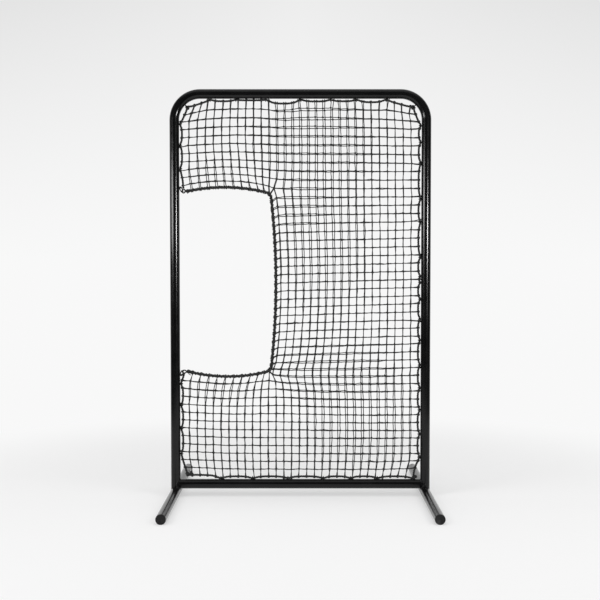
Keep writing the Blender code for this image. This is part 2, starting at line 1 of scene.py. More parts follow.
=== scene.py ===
"""The c-shaped pitching screen as it looks: its finishes, smooth tubes, roped net and pale studio.

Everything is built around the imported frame, in its metres and in its place. The tubes, plugs, eyes and
ropes stand for the CAD nodes of the same size. The net is solved as a web of taut twine between the
ropes, and hangs in two plies.
"""

import logging
import math
from collections.abc import Iterable, Sequence
from dataclasses import dataclass
from enum import Enum

import bmesh
import bpy
import numpy as np
from mathutils import Matrix, Vector


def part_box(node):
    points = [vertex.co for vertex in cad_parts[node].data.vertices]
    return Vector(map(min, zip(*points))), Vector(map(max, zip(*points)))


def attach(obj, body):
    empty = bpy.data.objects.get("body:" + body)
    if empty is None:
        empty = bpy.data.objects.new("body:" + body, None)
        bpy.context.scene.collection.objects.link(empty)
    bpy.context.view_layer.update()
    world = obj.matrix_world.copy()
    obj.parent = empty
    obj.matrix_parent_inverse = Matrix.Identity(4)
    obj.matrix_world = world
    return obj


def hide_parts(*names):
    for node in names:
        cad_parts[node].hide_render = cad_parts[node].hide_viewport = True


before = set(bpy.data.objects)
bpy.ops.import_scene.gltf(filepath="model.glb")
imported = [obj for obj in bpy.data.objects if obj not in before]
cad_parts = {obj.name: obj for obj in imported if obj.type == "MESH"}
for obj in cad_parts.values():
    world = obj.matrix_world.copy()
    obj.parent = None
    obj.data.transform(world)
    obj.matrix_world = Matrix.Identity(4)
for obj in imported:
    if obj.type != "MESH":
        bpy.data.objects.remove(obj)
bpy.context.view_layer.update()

logging.basicConfig(level=logging.INFO, format="%(message)s")
log = logging.getLogger("pitching_screen")

Key = tuple[str | int, int]
Socket = bpy.types.NodeSocket

FULL_TURN = 2 * math.pi
QUARTER_TURN = math.pi / 2
SLOPE = math.sqrt(0.5)
SHARP_ANGLE = math.radians(38)
NOISE_RANGE = (0.3, 0.7)
LAY_SIZES = ("Step", "Lay Radius", "Strand Radius", "Pitch")


class Body(Enum):
    """The CAD bodies that pieces ride on."""

    FRAME = "frame"
    LEFT_FOOT = "left_foot_assembly"
    RIGHT_FOOT = "right_foot_assembly"


class Slot(Enum):
    """The record's material slots."""

    TUBE = "frame_tube"
    EYE = "rope_eye"
    SPIGOT = "spigot_steel"
    PLUG = "end_plug"
    ROPE = "rope"
    NET = "net_twine"


class Ply(Enum):
    """The two plies of the net, by the side of the ropes that they hang on."""

    FRONT = -1
    REAR = 1


class Lights(Enum):
    """What a lamp lights: the matt share of every surface, or its gloss."""

    MATT = "matt"
    GLOSS = "gloss"


SIDES = (("left", -1, Body.LEFT_FOOT), ("right", 1, Body.RIGHT_FOOT))


# Node trees


class NodeGraph:
    """A node tree that is wired by short calls."""

    def __init__(self, tree: bpy.types.NodeTree) -> None:
        """Keeps the tree that it wires."""
        self.tree = tree

    def add(self, kind: str, settings: dict | None = None, **inputs: object) -> bpy.types.Node:
        """Adds a node and feeds its inputs.

        Args:
            kind: The node's type.
            settings: Its properties by name, set before its inputs.
            inputs: Its inputs by name, with _ for a space: a socket to link, a list of them, or a value.

        Returns:
            The new node.
        """
        node = self.tree.nodes.new(kind)
        for name, value in (settings or {}).items():
            setattr(node, name, value)
        for name, value in inputs.items():
            self.feed(node.inputs[name.replace("_", " ")], value)
        return node

    def feed(self, socket: Socket, value: object) -> None:
        """Links an input or sets its value.

        Args:
            socket: The input.
            value: A socket to link to it, a list of them, or its value.
        """
        if isinstance(value, Socket):
            value = [value]
        if isinstance(value, list):
            for source in value:
                self.tree.links.new(source, socket)
        else:
            socket.default_value = value

    def operate(self, kind: str, operation: str, values: Iterable, output: str) -> Socket:
        """Adds a node that does an operation on values.

        Args:
            kind: The node's type.
            operation: What it does.
            values: Its inputs in order, as sockets or values.
            output: The name of its result.

        Returns:
            The result.
        """
        node = self.add(kind, {"operation": operation})
        for socket, value in zip(node.inputs, values):
            self.feed(socket, value)
        return node.outputs[output]

    def math(self, operation: str, *values: Socket | float) -> Socket:
        """The result of a math node on sockets or numbers."""
        return self.operate("ShaderNodeMath", operation, values, "Value")

    def vector_math(self, operation: str, *values: object) -> Socket:
        """The vector that a vector math node makes of sockets or vectors."""
        return self.operate("ShaderNodeVectorMath", operation, values, "Vector")

    def smooth_step(self, value: Socket, start: float, end: float, low: float, high: float) -> Socket:
        """Eases from low to high as a value runs from start to end.

        Args:
            value: The value.
            start: Where it starts to rise.
            end: Where it ends.
            low: The result up to the start.
            high: The result from the end on.

        Returns:
            The result.
        """
        ends = {"From_Min": start, "From_Max": end, "To_Min": low, "To_Max": high}
        return self.add(
            "ShaderNodeMapRange", {"interpolation_type": "SMOOTHSTEP"}, Value=value, **ends
        ).outputs["Result"]


class ShaderGraph(NodeGraph):
    """A material's node tree."""

    def __init__(self, name: str) -> None:
        """Starts a material with a Principled shader.

        Args:
            name: The material's name.
        """
        self.material = bpy.data.materials.new(name)
        self.material.use_nodes = True
        super().__init__(self.material.node_tree)
        self.shader = self.tree.nodes["Principled BSDF"]
        self.place = self.add("ShaderNodeTexCoord").outputs["Object"]

    def noise(self, where: Socket, scale: float, detail: float = 2.0) -> Socket:
        """A noise value, from about 0.3 to about 0.7."""
        return self.add("ShaderNodeTexNoise", Vector=where, Scale=scale, Detail=detail).outputs["Fac"]

    def stretched(self, where: Socket, scale: tuple) -> Socket:
        """A coordinate scaled along each axis."""
        return self.add("ShaderNodeMapping", Vector=where, Scale=scale).outputs["Vector"]

    def tint(self, value: Socket, dark: tuple, light: tuple) -> None:
        """Colours the shader by a noise.

        Args:
            value: The noise.
            dark: The colour at its low end.
            light: The colour at its high end.
        """
        ramp = self.add("ShaderNodeValToRGB", Fac=value)
        for element, place, colour in zip(ramp.color_ramp.elements, NOISE_RANGE, (dark, light)):
            element.position = place
            element.color = (*colour, 1.0)
        self.feed(self.shader.inputs["Base Color"], ramp.outputs["Color"])

    def roughen(self, value: Socket, low: float, high: float) -> None:
        """Sets the shader's roughness between two values by a noise value."""
        self.feed(self.shader.inputs["Roughness"], self.smooth_step(value, *NOISE_RANGE, low, high))

    def bump(self, height: Socket, strength: float, distance: float) -> None:
        """Bumps the shader's surface by a height of at most the distance."""
        node = self.add("ShaderNodeBump", Height=height, Strength=strength, Distance=distance)
        self.feed(self.shader.inputs["Normal"], node.outputs["Normal"])

    def set(self, **values: float) -> None:
        """Sets inputs on the shader itself, by name with _ for a space."""
        for name, value in values.items():
            self.shader.inputs[name.replace("_", " ")].default_value = value


class GeometryTree(NodeGraph):
    """A Geometry Nodes tree with named inputs, which makes a mesh from a piece's guide."""

    def __init__(self, name: str) -> None:
        """Starts a tree with a guide as its input and a mesh as its output.

        Args:
            name: The tree's name.
        """
        super().__init__(bpy.data.node_groups.new(name, "GeometryNodeTree"))
        self.source = self.tree.nodes.new("NodeGroupInput")
        self.result = self.tree.nodes.new("NodeGroupOutput")
        self.identifiers: dict[str, str] = {}
        self.guide = self.input("Guide", "NodeSocketGeometry")
        self.tree.interface.new_socket("Mesh", in_out="OUTPUT", socket_type="NodeSocketGeometry")

    def input(self, name: str, kind: str = "NodeSocketFloat") -> Socket:
        """Adds an input.

        Args:
            name: The input's name.
            kind: Its socket's type.

        Returns:
            Its socket inside the tree.
        """
        socket = self.tree.interface.new_socket(name, in_out="INPUT", socket_type=kind)
        self.identifiers[name] = socket.identifier
        return self.source.outputs[name]

    def scaled(self, vector: object, factor: Socket) -> Socket:
        """The vector times a factor."""
        return self.add(
            "ShaderNodeVectorMath", {"operation": "SCALE"}, Vector=vector, Scale=factor
        ).outputs["Vector"]

    def vector(self, **parts: Socket | float) -> Socket:
        """A vector of the given X, Y and Z."""
        return self.add("ShaderNodeCombineXYZ", **parts).outputs["Vector"]

    def named(self, name: str, kind: str) -> Socket:
        """The guide's attribute of this name and kind."""
        node = self.add("GeometryNodeInputNamedAttribute", {"data_type": kind}, Name=name)
        return node.outputs["Attribute"]

    def guide_curves(self) -> Socket:
        """The guide's edges as curves."""
        return self.add("GeometryNodeMeshToCurve", Mesh=self.guide).outputs["Curve"]

    def facing(self, primary: Socket, secondary: object) -> Socket:
        """Works out the turn that takes Z and Y to two directions.

        Args:
            primary: Where Z turns to.
            secondary: Where Y turns to, as near as it can.

        Returns:
            The turn.
        """
        axes = {"primary_axis": "Z", "secondary_axis": "Y"}
        ways = {"Primary_Axis": primary, "Secondary_Axis": secondary}
        return self.add("FunctionNodeAxesToRotation", axes, **ways).outputs["Rotation"]

    def moved(self, part: Socket, **place: object) -> Socket:
        """The part put in a place by its Translation, Rotation and Scale."""
        return self.add("GeometryNodeTransform", Geometry=part, **place).outputs["Geometry"]

    def joined(self, *parts: Socket) -> Socket:
        """The parts as one geometry."""
        return self.add("GeometryNodeJoinGeometry", Geometry=list(reversed(parts))).outputs["Geometry"]

    def ball(self, segments: int, rings: int, radius: object) -> Socket:
        """A ball."""
        sizes = {"Segments": segments, "Rings": rings, "Radius": radius}
        return self.add("GeometryNodeMeshUVSphere", **sizes).outputs["Mesh"]

    def loop(self, corners: int, radius: object) -> Socket:
        """A closed round curve in the plane Z = 0."""
        node = self.add("GeometryNodeCurvePrimitiveCircle", Resolution=corners, Radius=radius)
        return node.outputs["Curve"]

    def sweep(self, curve: Socket, radius: Socket | float, sides: int) -> Socket:
        """Sweeps a round section along curves, and keeps where each point lies on its strand.

        Args:
            curve: The curves.
            radius: The section's radius.
            sides: The section's sides.

        Returns:
            The mesh. Its attribute strand_place holds the point's place in the section, in radii, and its
            distance along the strand in metres.
        """
        kept = []
        along = self.add("GeometryNodeSplineParameter").outputs["Length"]
        position = self.add("GeometryNodeInputPosition").outputs["Position"]
        for geometry, name, kind, value in (
            (curve, "Along", "FLOAT", along), (self.loop(sides, radius), "Ring", "VECTOR", position),
        ):
            keeper = self.add("GeometryNodeCaptureAttribute", Geometry=geometry)
            keeper.capture_items.new(kind, name)
            self.feed(keeper.inputs[name], value)
            kept.append(keeper.outputs)
        path, ring = kept
        tube = self.add(
            "GeometryNodeCurveToMesh", Curve=path["Geometry"], Profile_Curve=ring["Geometry"], Fill_Caps=True
        )
        in_radii = self.scaled(ring["Ring"], self.math("DIVIDE", 1.0, radius))
        place = self.vector_math("ADD", in_radii, self.vector(Z=path["Along"]))
        settings = {"data_type": "FLOAT_VECTOR", "domain": "POINT"}
        return self.add(
            "GeometryNodeStoreNamedAttribute", settings,
            Geometry=tube.outputs["Mesh"], Name="strand_place", Value=place,
        ).outputs["Geometry"]

    def copies(self, shape: Socket, rotation: Socket, selection: object = True) -> Socket:
        """Copies of a shape on the guide's points."""
        return self.add(
            "GeometryNodeInstanceOnPoints",
            Points=self.guide, Instance=shape, Rotation=rotation, Selection=selection,
        ).outputs["Instances"]

    def close(self, mesh: Socket) -> "GeometryTree":
        """Ends the tree: real meshes instead of instances, shaded smooth, in their finish.

        Args:
            mesh: What the tree has made.

        Returns:
            The tree.
        """
        real = self.add("GeometryNodeRealizeInstances", Geometry=mesh).outputs["Geometry"]
        smooth = self.add("GeometryNodeSetShadeSmooth", Geometry=real, Shade_Smooth=True).outputs["Geometry"]
        finish = self.input("Finish", "NodeSocketMaterial")
        dressed = self.add("GeometryNodeSetMaterial", Geometry=smooth, Material=finish)
        self.tree.links.new(dressed.outputs["Geometry"], self.result.inputs["Mesh"])
        return self

    def build(self, guide: bpy.types.Object, finish: bpy.types.Material, **sizes: float) -> bpy.types.Object:
        """Runs the tree on a guide and keeps the result as a plain mesh.

        Args:
            guide: The object with the guide lines or points, which is removed.
            finish: The material.
            sizes: The tree's other inputs, by name with _ for a space.

        Returns:
            The object that shows the mesh, under the guide's name.
        """
        step = guide.modifiers.new("tree", "NODES")
        step.node_group = self.tree
        step[self.identifiers["Finish"]] = finish
        for name, value in sizes.items():
            step[self.identifiers[name.replace("_", " ")]] = value
        bpy.context.view_layer.update()
        mesh = bpy.data.meshes.new_from_object(guide.evaluated_get(bpy.context.evaluated_depsgraph_get()))
        name = guide.name
        bpy.data.objects.remove(guide)
        return show(name, mesh)


# Meshes


def show(name: str, data: bpy.types.ID) -> bpy.types.Object:
    """Shows a mesh, a lamp or a camera in an object at the origin.

    Args:
        name: The name of the object and of its data.
        data: The mesh, the lamp or the camera.

    Returns:
        The object.
    """
    data.name = name
    thing = bpy.data.objects.new(name, data)
    bpy.context.scene.collection.objects.link(thing)
    return thing


def smooth_piece(name: str, shape: bmesh.types.BMesh, finish: bpy.types.Material) -> bpy.types.Object:
    """Makes a piece that is shaded smooth, with its faces turned outwards.

    Args:
        name: The piece's name.
        shape: Its shape, which is freed.
        finish: Its material.

    Returns:
        The piece.
    """
    bmesh.ops.recalc_face_normals(shape, faces=shape.faces)
    mesh = bpy.data.meshes.new(name)
    shape.to_mesh(mesh)
    shape.free()
    mesh.shade_smooth()
    mesh.set_sharp_from_angle(angle=SHARP_ANGLE)
    mesh.materials.append(finish)
    return show(name, mesh)


def guide_lines(
    name: str, lines: Iterable[np.ndarray], notes: dict[str, Sequence] | None = None, closed: bool = False
) -> bpy.types.Object:
    """An object of loose edge chains for a tree to work on.

    Args:
        name: The object's name.
        lines: Each chain's points, as rows of x, y and z.
        notes: Values for each point by attribute name, whole numbers or vectors.
        closed: Whether each chain's end joins its start.

    Returns:
        The object.
    """
    lines = [np.array(line, float) for line in lines]
    edges = []
    start = 0
    for line in lines:
        edges += [(start + step, start + step + 1) for step in range(len(line) - 1)]
        if closed:
            edges.append((start + len(line) - 1, start))
        start += len(line)
    mesh = bpy.data.meshes.new(name)
    mesh.from_pydata(np.concatenate(lines).tolist(), edges, [])
    for note, values in (notes or {}).items():
        values = np.array(values)
        kind, field_name = ("FLOAT_VECTOR", "vector") if values.ndim == 2 else ("INT", "value")
        mesh.attributes.new(note, kind, "POINT").data.foreach_set(field_name, values.ravel())
    return show(name, mesh)


def in_space(points: np.ndarray, y: float = 0.0) -> np.ndarray:
    """Points of the net's plane, given as x and z, in space."""
    points = np.atleast_2d(points)
    return np.column_stack([points[:, 0], np.full(len(points), y), points[:, 1]])


def put(piece: bpy.types.Object, body: Body, replaced: Sequence[str] = ()) -> None:
    """Hangs a finished piece on its body and hides the nodes that it stands for.

    Args:
        piece: The piece, in place.
        body: The body that it rides on.
        replaced: Names of the CAD nodes that it replaces.
    """
    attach(piece, body.value)
    if replaced:
        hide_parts(*replaced)
    triangles = sum(len(face.vertices) - 2 for face in piece.data.polygons)
    log.info("%s: %d triangles on %s", piece.name, triangles, body.value)


# Finishes


@dataclass(frozen=True)
class PowderCoat:
    """Glossy black powder coat: a slight orange peel, duller patches, and scuffs where the feet slip on."""

    name: str = "black_powder_coat"
    dark: tuple = (0.0030, 0.0030, 0.0031)
    light: tuple = (0.0065, 0.0065, 0.0067)
    roughness: tuple = (0.145, 0.18)
    peel_size: float = 0.004
    peel_depth: float = 0.00001
    peel_strength: float = 0.12
    cloud_scale: float = 9.0
    dull_scale: float = 14.0
    scratch_scale: tuple = (700.0, 90.0, 240.0)
    scratches: tuple = (0.6, 0.75)
    scuff_heights: tuple = (0.03, 0.075)
    scuff_share: float = 0.16
    specular: float = 0.28

    def material(self) -> bpy.types.Material:
        """Builds the material.

        Returns:
            The material.
        """
        graph = ShaderGraph(self.name)
        height = graph.add("ShaderNodeSeparateXYZ", Vector=graph.place).outputs["Z"]
        scratches = graph.noise(graph.stretched(graph.place, self.scratch_scale), scale=1.0, detail=4.0)
        scratched = graph.smooth_step(scratches, *self.scratches, 0.0, 1.0)
        low_down = graph.smooth_step(height, *self.scuff_heights, self.scuff_share, 0.0)
        clouds = graph.noise(graph.place, self.cloud_scale, detail=4.0)
        graph.tint(graph.math("MULTIPLY_ADD", scratched, low_down, clouds), self.dark, self.light)
        graph.roughen(graph.noise(graph.place, self.dull_scale, detail=1.0), *self.roughness)
        graph.bump(graph.noise(graph.place, 1.0 / self.peel_size), self.peel_strength, self.peel_depth)
        graph.set(Specular_IOR_Level=self.specular)
        return graph.material


@dataclass(frozen=True)
class MouldedPlastic:
    """Matt black plastic of the end plugs, with the fine grain of its mould."""

    name: str = "black_moulded_plastic"
    dark: tuple = (0.005, 0.005, 0.005)
    light: tuple = (0.010, 0.010, 0.0105)
    roughness: tuple = (0.48, 0.62)
    cloud_scale: float = 120.0
    dull_scale: float = 300.0
    grain_size: float = 0.0006
    grain_depth: float = 0.00008
    grain_strength: float = 0.5
    specular: float = 0.25

    def material(self) -> bpy.types.Material:
        """Builds the material.

        Returns:
            The material.
        """
        graph = ShaderGraph(self.name)
        graph.tint(graph.noise(graph.place, self.cloud_scale, detail=4.0), self.dark, self.light)
        graph.roughen(graph.noise(graph.place, self.dull_scale, detail=3.0), *self.roughness)
        grain = graph.noise(graph.place, 1.0 / self.grain_size, detail=1.0)
        graph.bump(grain, self.grain_strength, self.grain_depth)
        graph.set(Specular_IOR_Level=self.specular)
        return graph.material


@dataclass(frozen=True)
class ZincPlate:
    """Bright zinc on the spigots, dulled in clouds and drawn along the tube."""

    name: str = "zinc_plate"
    dark: tuple = (0.38, 0.39, 0.41)
    light: tuple = (0.60, 0.61, 0.63)
    roughness: tuple = (0.28, 0.46)
    cloud_scale: float = 60.0
    line_scale: tuple = (900.0, 900.0, 12.0)
    line_depth: float = 0.00002
    line_strength: float = 0.3

    def material(self) -> bpy.types.Material:
        """Builds the material.

        Returns:
            The material.
        """
        graph = ShaderGraph(self.name)
        graph.tint(graph.noise(graph.place, self.cloud_scale, detail=5.0), self.dark, self.light)
        lines = graph.noise(graph.stretched(graph.place, self.line_scale), scale=1.0, detail=3.0)
        graph.roughen(lines, *self.roughness)
        graph.bump(lines, self.line_strength, self.line_depth)
        graph.set(Metallic=1.0)
        return graph.material


@dataclass(frozen=True)
class TwistedFibre:
    """Black fibre whose yarns wind round the strand, lighter on their crowns, with painted shade in the
    valleys between them and random fuzz.
    """

    name: str
    light: float
    yarns: int
    pitch: float
    yarn_depth: float
    dark: float = 0.003
    roughness: tuple = (0.68, 0.86)
    fuzz_scale: tuple = (6.0, 6.0, 260.0)
    fuzz_share: float = 0.35
    valley_shade_spread: tuple = (0.35, 0.25)
    yarn_strength: float = 0.8
    sheen: float = 0.10
    sheen_roughness: float = 0.5

    def material(self) -> bpy.types.Material:
        """Builds the material.

        Returns:
            The material.
        """
        graph = ShaderGraph(self.name)
        strand = graph.add("ShaderNodeAttribute", {"attribute_name": "strand_place"}).outputs["Vector"]
        parts = graph.add("ShaderNodeSeparateXYZ", Vector=strand).outputs
        angle = graph.math("ARCTAN2", parts["Y"], parts["X"])
        turn = graph.math("MULTIPLY", parts["Z"], FULL_TURN / self.pitch)
        phase = graph.math("MULTIPLY_ADD", angle, float(self.yarns), turn)
        yarn = graph.math("MULTIPLY_ADD", graph.math("SINE", phase), 0.5, 0.5)
        fuzz = graph.noise(graph.stretched(strand, self.fuzz_scale), scale=1.0, detail=4.0)
        height = graph.math("MULTIPLY_ADD", fuzz, self.fuzz_share, yarn)
        # Painted shade: the colour follows the height of the yarns and their fuzz, so the valleys between the
        # yarns are darker.
        fuzz_and_valley_shade = graph.math("MULTIPLY_ADD", height, *self.valley_shade_spread)
        graph.tint(fuzz_and_valley_shade, (self.dark,) * 3, (self.light,) * 3)
        graph.roughen(fuzz, *self.roughness)
        graph.bump(height, self.yarn_strength, self.yarn_depth)
        graph.set(Sheen_Weight=self.sheen, Sheen_Roughness=self.sheen_roughness)
        return graph.material


@dataclass(frozen=True)
class StudioFloor:
    """Pale studio floor: lit and shadowed near the screen, and at the backdrop's own level further out."""

    name: str = "studio_floor"
    lit_colour: float = 0.93
    backdrop_level: float = 0.93
    lit_share: float = 0.55
    fade: tuple = (1.2, 3.0)

    def material(self) -> bpy.types.Material:
        """Builds the material.

        Returns:
            The material.
        """
        graph = ShaderGraph(self.name)
        graph.tree.nodes.remove(graph.shader)
        lit = graph.add("ShaderNodeBsdfDiffuse", Color=(self.lit_colour,) * 3 + (1.0,))
        level = graph.add("ShaderNodeEmission", Strength=self.backdrop_level)
        away = graph.operate("ShaderNodeVectorMath", "LENGTH", [graph.place], "Value")
        plain = graph.smooth_step(away, *self.fade, 1.0 - self.lit_share, 1.0)
        share = graph.math("MULTIPLY", plain, seen_directly(graph))
        mix = graph.add("ShaderNodeMixShader", Fac=share)
        graph.feed(mix.inputs[1], lit.outputs["BSDF"])
        graph.feed(mix.inputs[2], level.outputs["Emission"])
        graph.feed(graph.tree.nodes["Material Output"].inputs["Surface"], mix.outputs["Shader"])
        return graph.material


def seen_directly(graph: NodeGraph) -> Socket:
    """Makes a value of 1 for what the camera, a gloss or a glass sees, and 0 for other light.

    Args:
        graph: The node tree to make it in.

    Returns:
        The value.
    """
    path = graph.add("ShaderNodeLightPath").outputs
    direct = graph.math("MAXIMUM", path["Is Camera Ray"], path["Is Glossy Ray"])
    return graph.math("MAXIMUM", direct, path["Is Transmission Ray"])


class Finishes:
    """The material of each kind of piece."""

    def __init__(self) -> None:
        """Builds the materials."""
        self.coat = PowderCoat().material()
        self.plastic = MouldedPlastic().material()
        self.zinc = ZincPlate().material()
        self.rope, self.lashing, self.twine = (
            TwistedFibre(name, light=light, yarns=yarns, pitch=pitch, yarn_depth=depth).material()
            for name, light, yarns, pitch, depth in (
                ("black_rope_fibre", 0.014, 5, 0.028, 0.0004),
                ("black_lashing", 0.015, 3, 0.007, 0.0003),
                ("black_net_twine", 0.015, 3, 0.009, 0.0003),
            )
        )


# Frame


@dataclass
class TubeFrame:
    """The hoop, the rail, the feet and their spigots, as smooth round tubes of the CAD's size."""

    finishes: Finishes
    bend_radius: float = 0.135
    wall: float = 0.002
    tip_rise: float = 0.008
    seat_gap: float = 0.0003
    sides: int = 64
    bend_steps: int = 24
    bead_radius: float = 0.0028
    bead_rise: float = 0.15
    bead_scale: tuple = (1.25, 1.25, 0.6)

    def __post_init__(self) -> None:
        """Reads the tubes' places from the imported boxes."""
        low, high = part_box("frame_hoop")
        foot_low, foot_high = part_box("left_foot")
        rail_low, rail_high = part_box("bottom_rail")
        self.radius = (foot_high.x - foot_low.x) / 2
        self.upright_x = (high.x - low.x) / 2 - self.radius
        self.top_z = high.z - self.radius
        self.foot_z = foot_low.z + self.radius
        self.foot_ends = (foot_low.y, foot_high.y)
        self.rail_z = (rail_low.z + rail_high.z) / 2

    def ring(self, centre: Sequence, first: Sequence, second: Sequence, radius: float) -> np.ndarray:
        """Makes the points of a circle.

        Args:
            centre: The circle's middle.
            first: The direction of its first point.
            second: The direction a quarter further.
            radius: Its radius.

        Returns:
            The points, one for each side of a tube.
        """
        angles = np.arange(self.sides) * FULL_TURN / self.sides
        return centre + (np.outer(np.cos(angles), first) + np.outer(np.sin(angles), second)) * radius

    def cope(self, across: np.ndarray) -> np.ndarray:
        """How far a coped end stays from the middle of the tube that it sits on, for each offset across."""
        reach = np.sqrt(np.maximum(self.radius**2 - across**2, 0.0))
        return np.maximum(reach, self.tip_rise) + self.seat_gap

    def hoop_rings(self, radius: float) -> list[np.ndarray]:
        """Rings of one skin of the hoop, from the left foot over the top to the right foot.

        Args:
            radius: The skin's radius.

        Returns:
            The rings.
        """
        away = np.array((0, 1, 0))
        bend_x = self.upright_x - self.bend_radius
        bend_z = self.top_z - self.bend_radius
        rings = []
        for sign, first in ((-1, math.pi), (1, QUARTER_TURN)):
            for step in range(self.bend_steps + 1):
                angle = first - step / self.bend_steps * QUARTER_TURN
                outward = np.array((math.cos(angle), 0, math.sin(angle)))
                centre = np.array((sign * bend_x, 0, bend_z)) + outward * self.bend_radius
                rings.append(self.ring(centre, outward, away, radius))
        for sign, place in ((-1, 0), (1, len(rings) + 2)):
            outward = np.array((sign, 0, 0))
            x = sign * self.upright_x
            upper = self.ring((x, 0, self.foot_z + 2 * self.radius), outward, away, radius)
            tip = self.ring((x, 0, self.foot_z), outward, away, radius)
            tip[:, 2] += self.cope(tip[:, 0] - x)
            rings[place:place] = [tip, upper] if sign < 0 else [upper, tip]
        return rings

    def rail_rings(self, radius: float) -> list[np.ndarray]:
        """Rings of one skin of the bottom rail, coped round both uprights.

        Args:
            radius: The skin's radius.

        Returns:
            The rings.
        """
        rings = []
        for share in (-1, -0.5, 0.5, 1):
            ring = self.ring((0, 0, self.rail_z), (0, 1, 0), (0, 0, 1), radius)
            reach = self.upright_x - self.cope(ring[:, 1])
            ring[:, 0] = np.sign(share) * (reach if abs(share) == 1 else self.upright_x - 2 * self.radius)
            rings.append(ring)
        return rings

    def foot_rings(self, radius: float, x: float) -> list[np.ndarray]:
        """Rings of one skin of a foot tube."""
        return [self.ring((x, y, self.foot_z), (1, 0, 0), (0, 0, 1), radius) for y in self.foot_ends]

    def spigot_rings(self, radius: float, x: float, top: float) -> list[np.ndarray]:
        """Rings of one skin of a spigot, from its cope on the foot to its top.

        Args:
            radius: The skin's radius.
            x: The upright's place across the frame.
            top: The spigot's top.

        Returns:
            The rings.
        """
        levels = (self.foot_z, self.foot_z + 2 * self.radius, top)
        rings = [self.ring((x, 0, level), (1, 0, 0), (0, 1, 0), radius) for level in levels]
        rings[0][:, 2] += self.cope(rings[0][:, 0] - x)
        return rings

    def tube(self, name: str, skins: Sequence, finish: bpy.types.Material) -> bpy.types.Object:
        """Makes a tube with open ends.

        Args:
            name: The piece's name.
            skins: The rings of its outer skin, then of its bore.
            finish: Its material.

        Returns:
            The piece.
        """
        outer, bore = skins
        shape = bmesh.new()
        made = [[shape.verts.new(point) for point in ring] for ring in [*outer, *reversed(bore)]]
        for lower, upper in zip(made, made[1:] + made[:1]):
            for index in range(self.sides):
                after = (index + 1) % self.sides
                shape.faces.new((lower[index], lower[after], upper[after], upper[index]))
        return smooth_piece(name, shape, finish)

    def build(self) -> None:
        """Makes the tubes and lays the welds."""
        coat = self.finishes.coat
        radii = (self.radius, self.radius - self.wall)
        for name, rings, node in (
            ("hoop_tube", self.hoop_rings, "frame_hoop"),
            ("rail_tube", self.rail_rings, "bottom_rail"),
        ):
            tube = self.tube(name, [rings(radius) for radius in radii], coat)
            put(tube, Body.FRAME, [node])
        for side, sign, body in SIDES:
            x = sign * self.upright_x
            foot = self.tube(side + "_foot_tube", [self.foot_rings(radius, x) for radius in radii], coat)
            put(foot, body, [side + "_foot"])
            low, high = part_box(side + "_spigot")
            radius = (high.y - low.y) / 2
            skins = [self.spigot_rings(skin, x, high.z) for skin in (radius, radius - self.wall)]
            spigot = self.tube(side + "_spigot_tube", skins, self.finishes.zinc)
            put(spigot, body, [side + "_spigot"])
        self.weld_rail()

    def weld_rail(self) -> None:
        """Lays the beads that join the rail to the uprights."""
        places = []
        facings = []
        for sign in (-1, 1):
            out_rail = self.ring((0, 0, 0), (0, 1, 0), (0, 0, 1), 1.0)
            reach = np.sqrt(np.maximum(1.0 - out_rail[:, 1] ** 2, 0.0))
            out_post = np.column_stack([-sign * reach, out_rail[:, 1], np.zeros(self.sides)])
            facing = out_rail + out_post
            facing /= np.linalg.norm(facing, axis=1)[:, None]
            place = out_rail * self.radius + facing * self.bead_radius * self.bead_rise
            place[:, 0] = sign * (self.upright_x - reach * self.radius)
            place[:, 2] += self.rail_z
            places.append(place)
            facings.append(facing)
        guide = guide_lines("rail_welds", places, {"facing": np.concatenate(facings)})
        welds = self.bead_tree().build(guide, self.finishes.coat, Radius=self.bead_radius)
        put(welds, Body.FRAME)

    def bead_tree(self) -> GeometryTree:
        """Makes a tree that lays a flat ripple of weld on each guide point, facing as its attribute says.

        Returns:
            The tree, with an input for the ripple's radius.
        """
        tree = GeometryTree("weld_ripples")
        ball = tree.ball(segments=8, rings=6, radius=tree.input("Radius"))
        ripple = tree.moved(ball, Scale=self.bead_scale)
        turn = tree.facing(tree.named("facing", "FLOAT_VECTOR"), (1.0, 0.0, 0.0))
        return tree.close(tree.copies(ripple, turn))


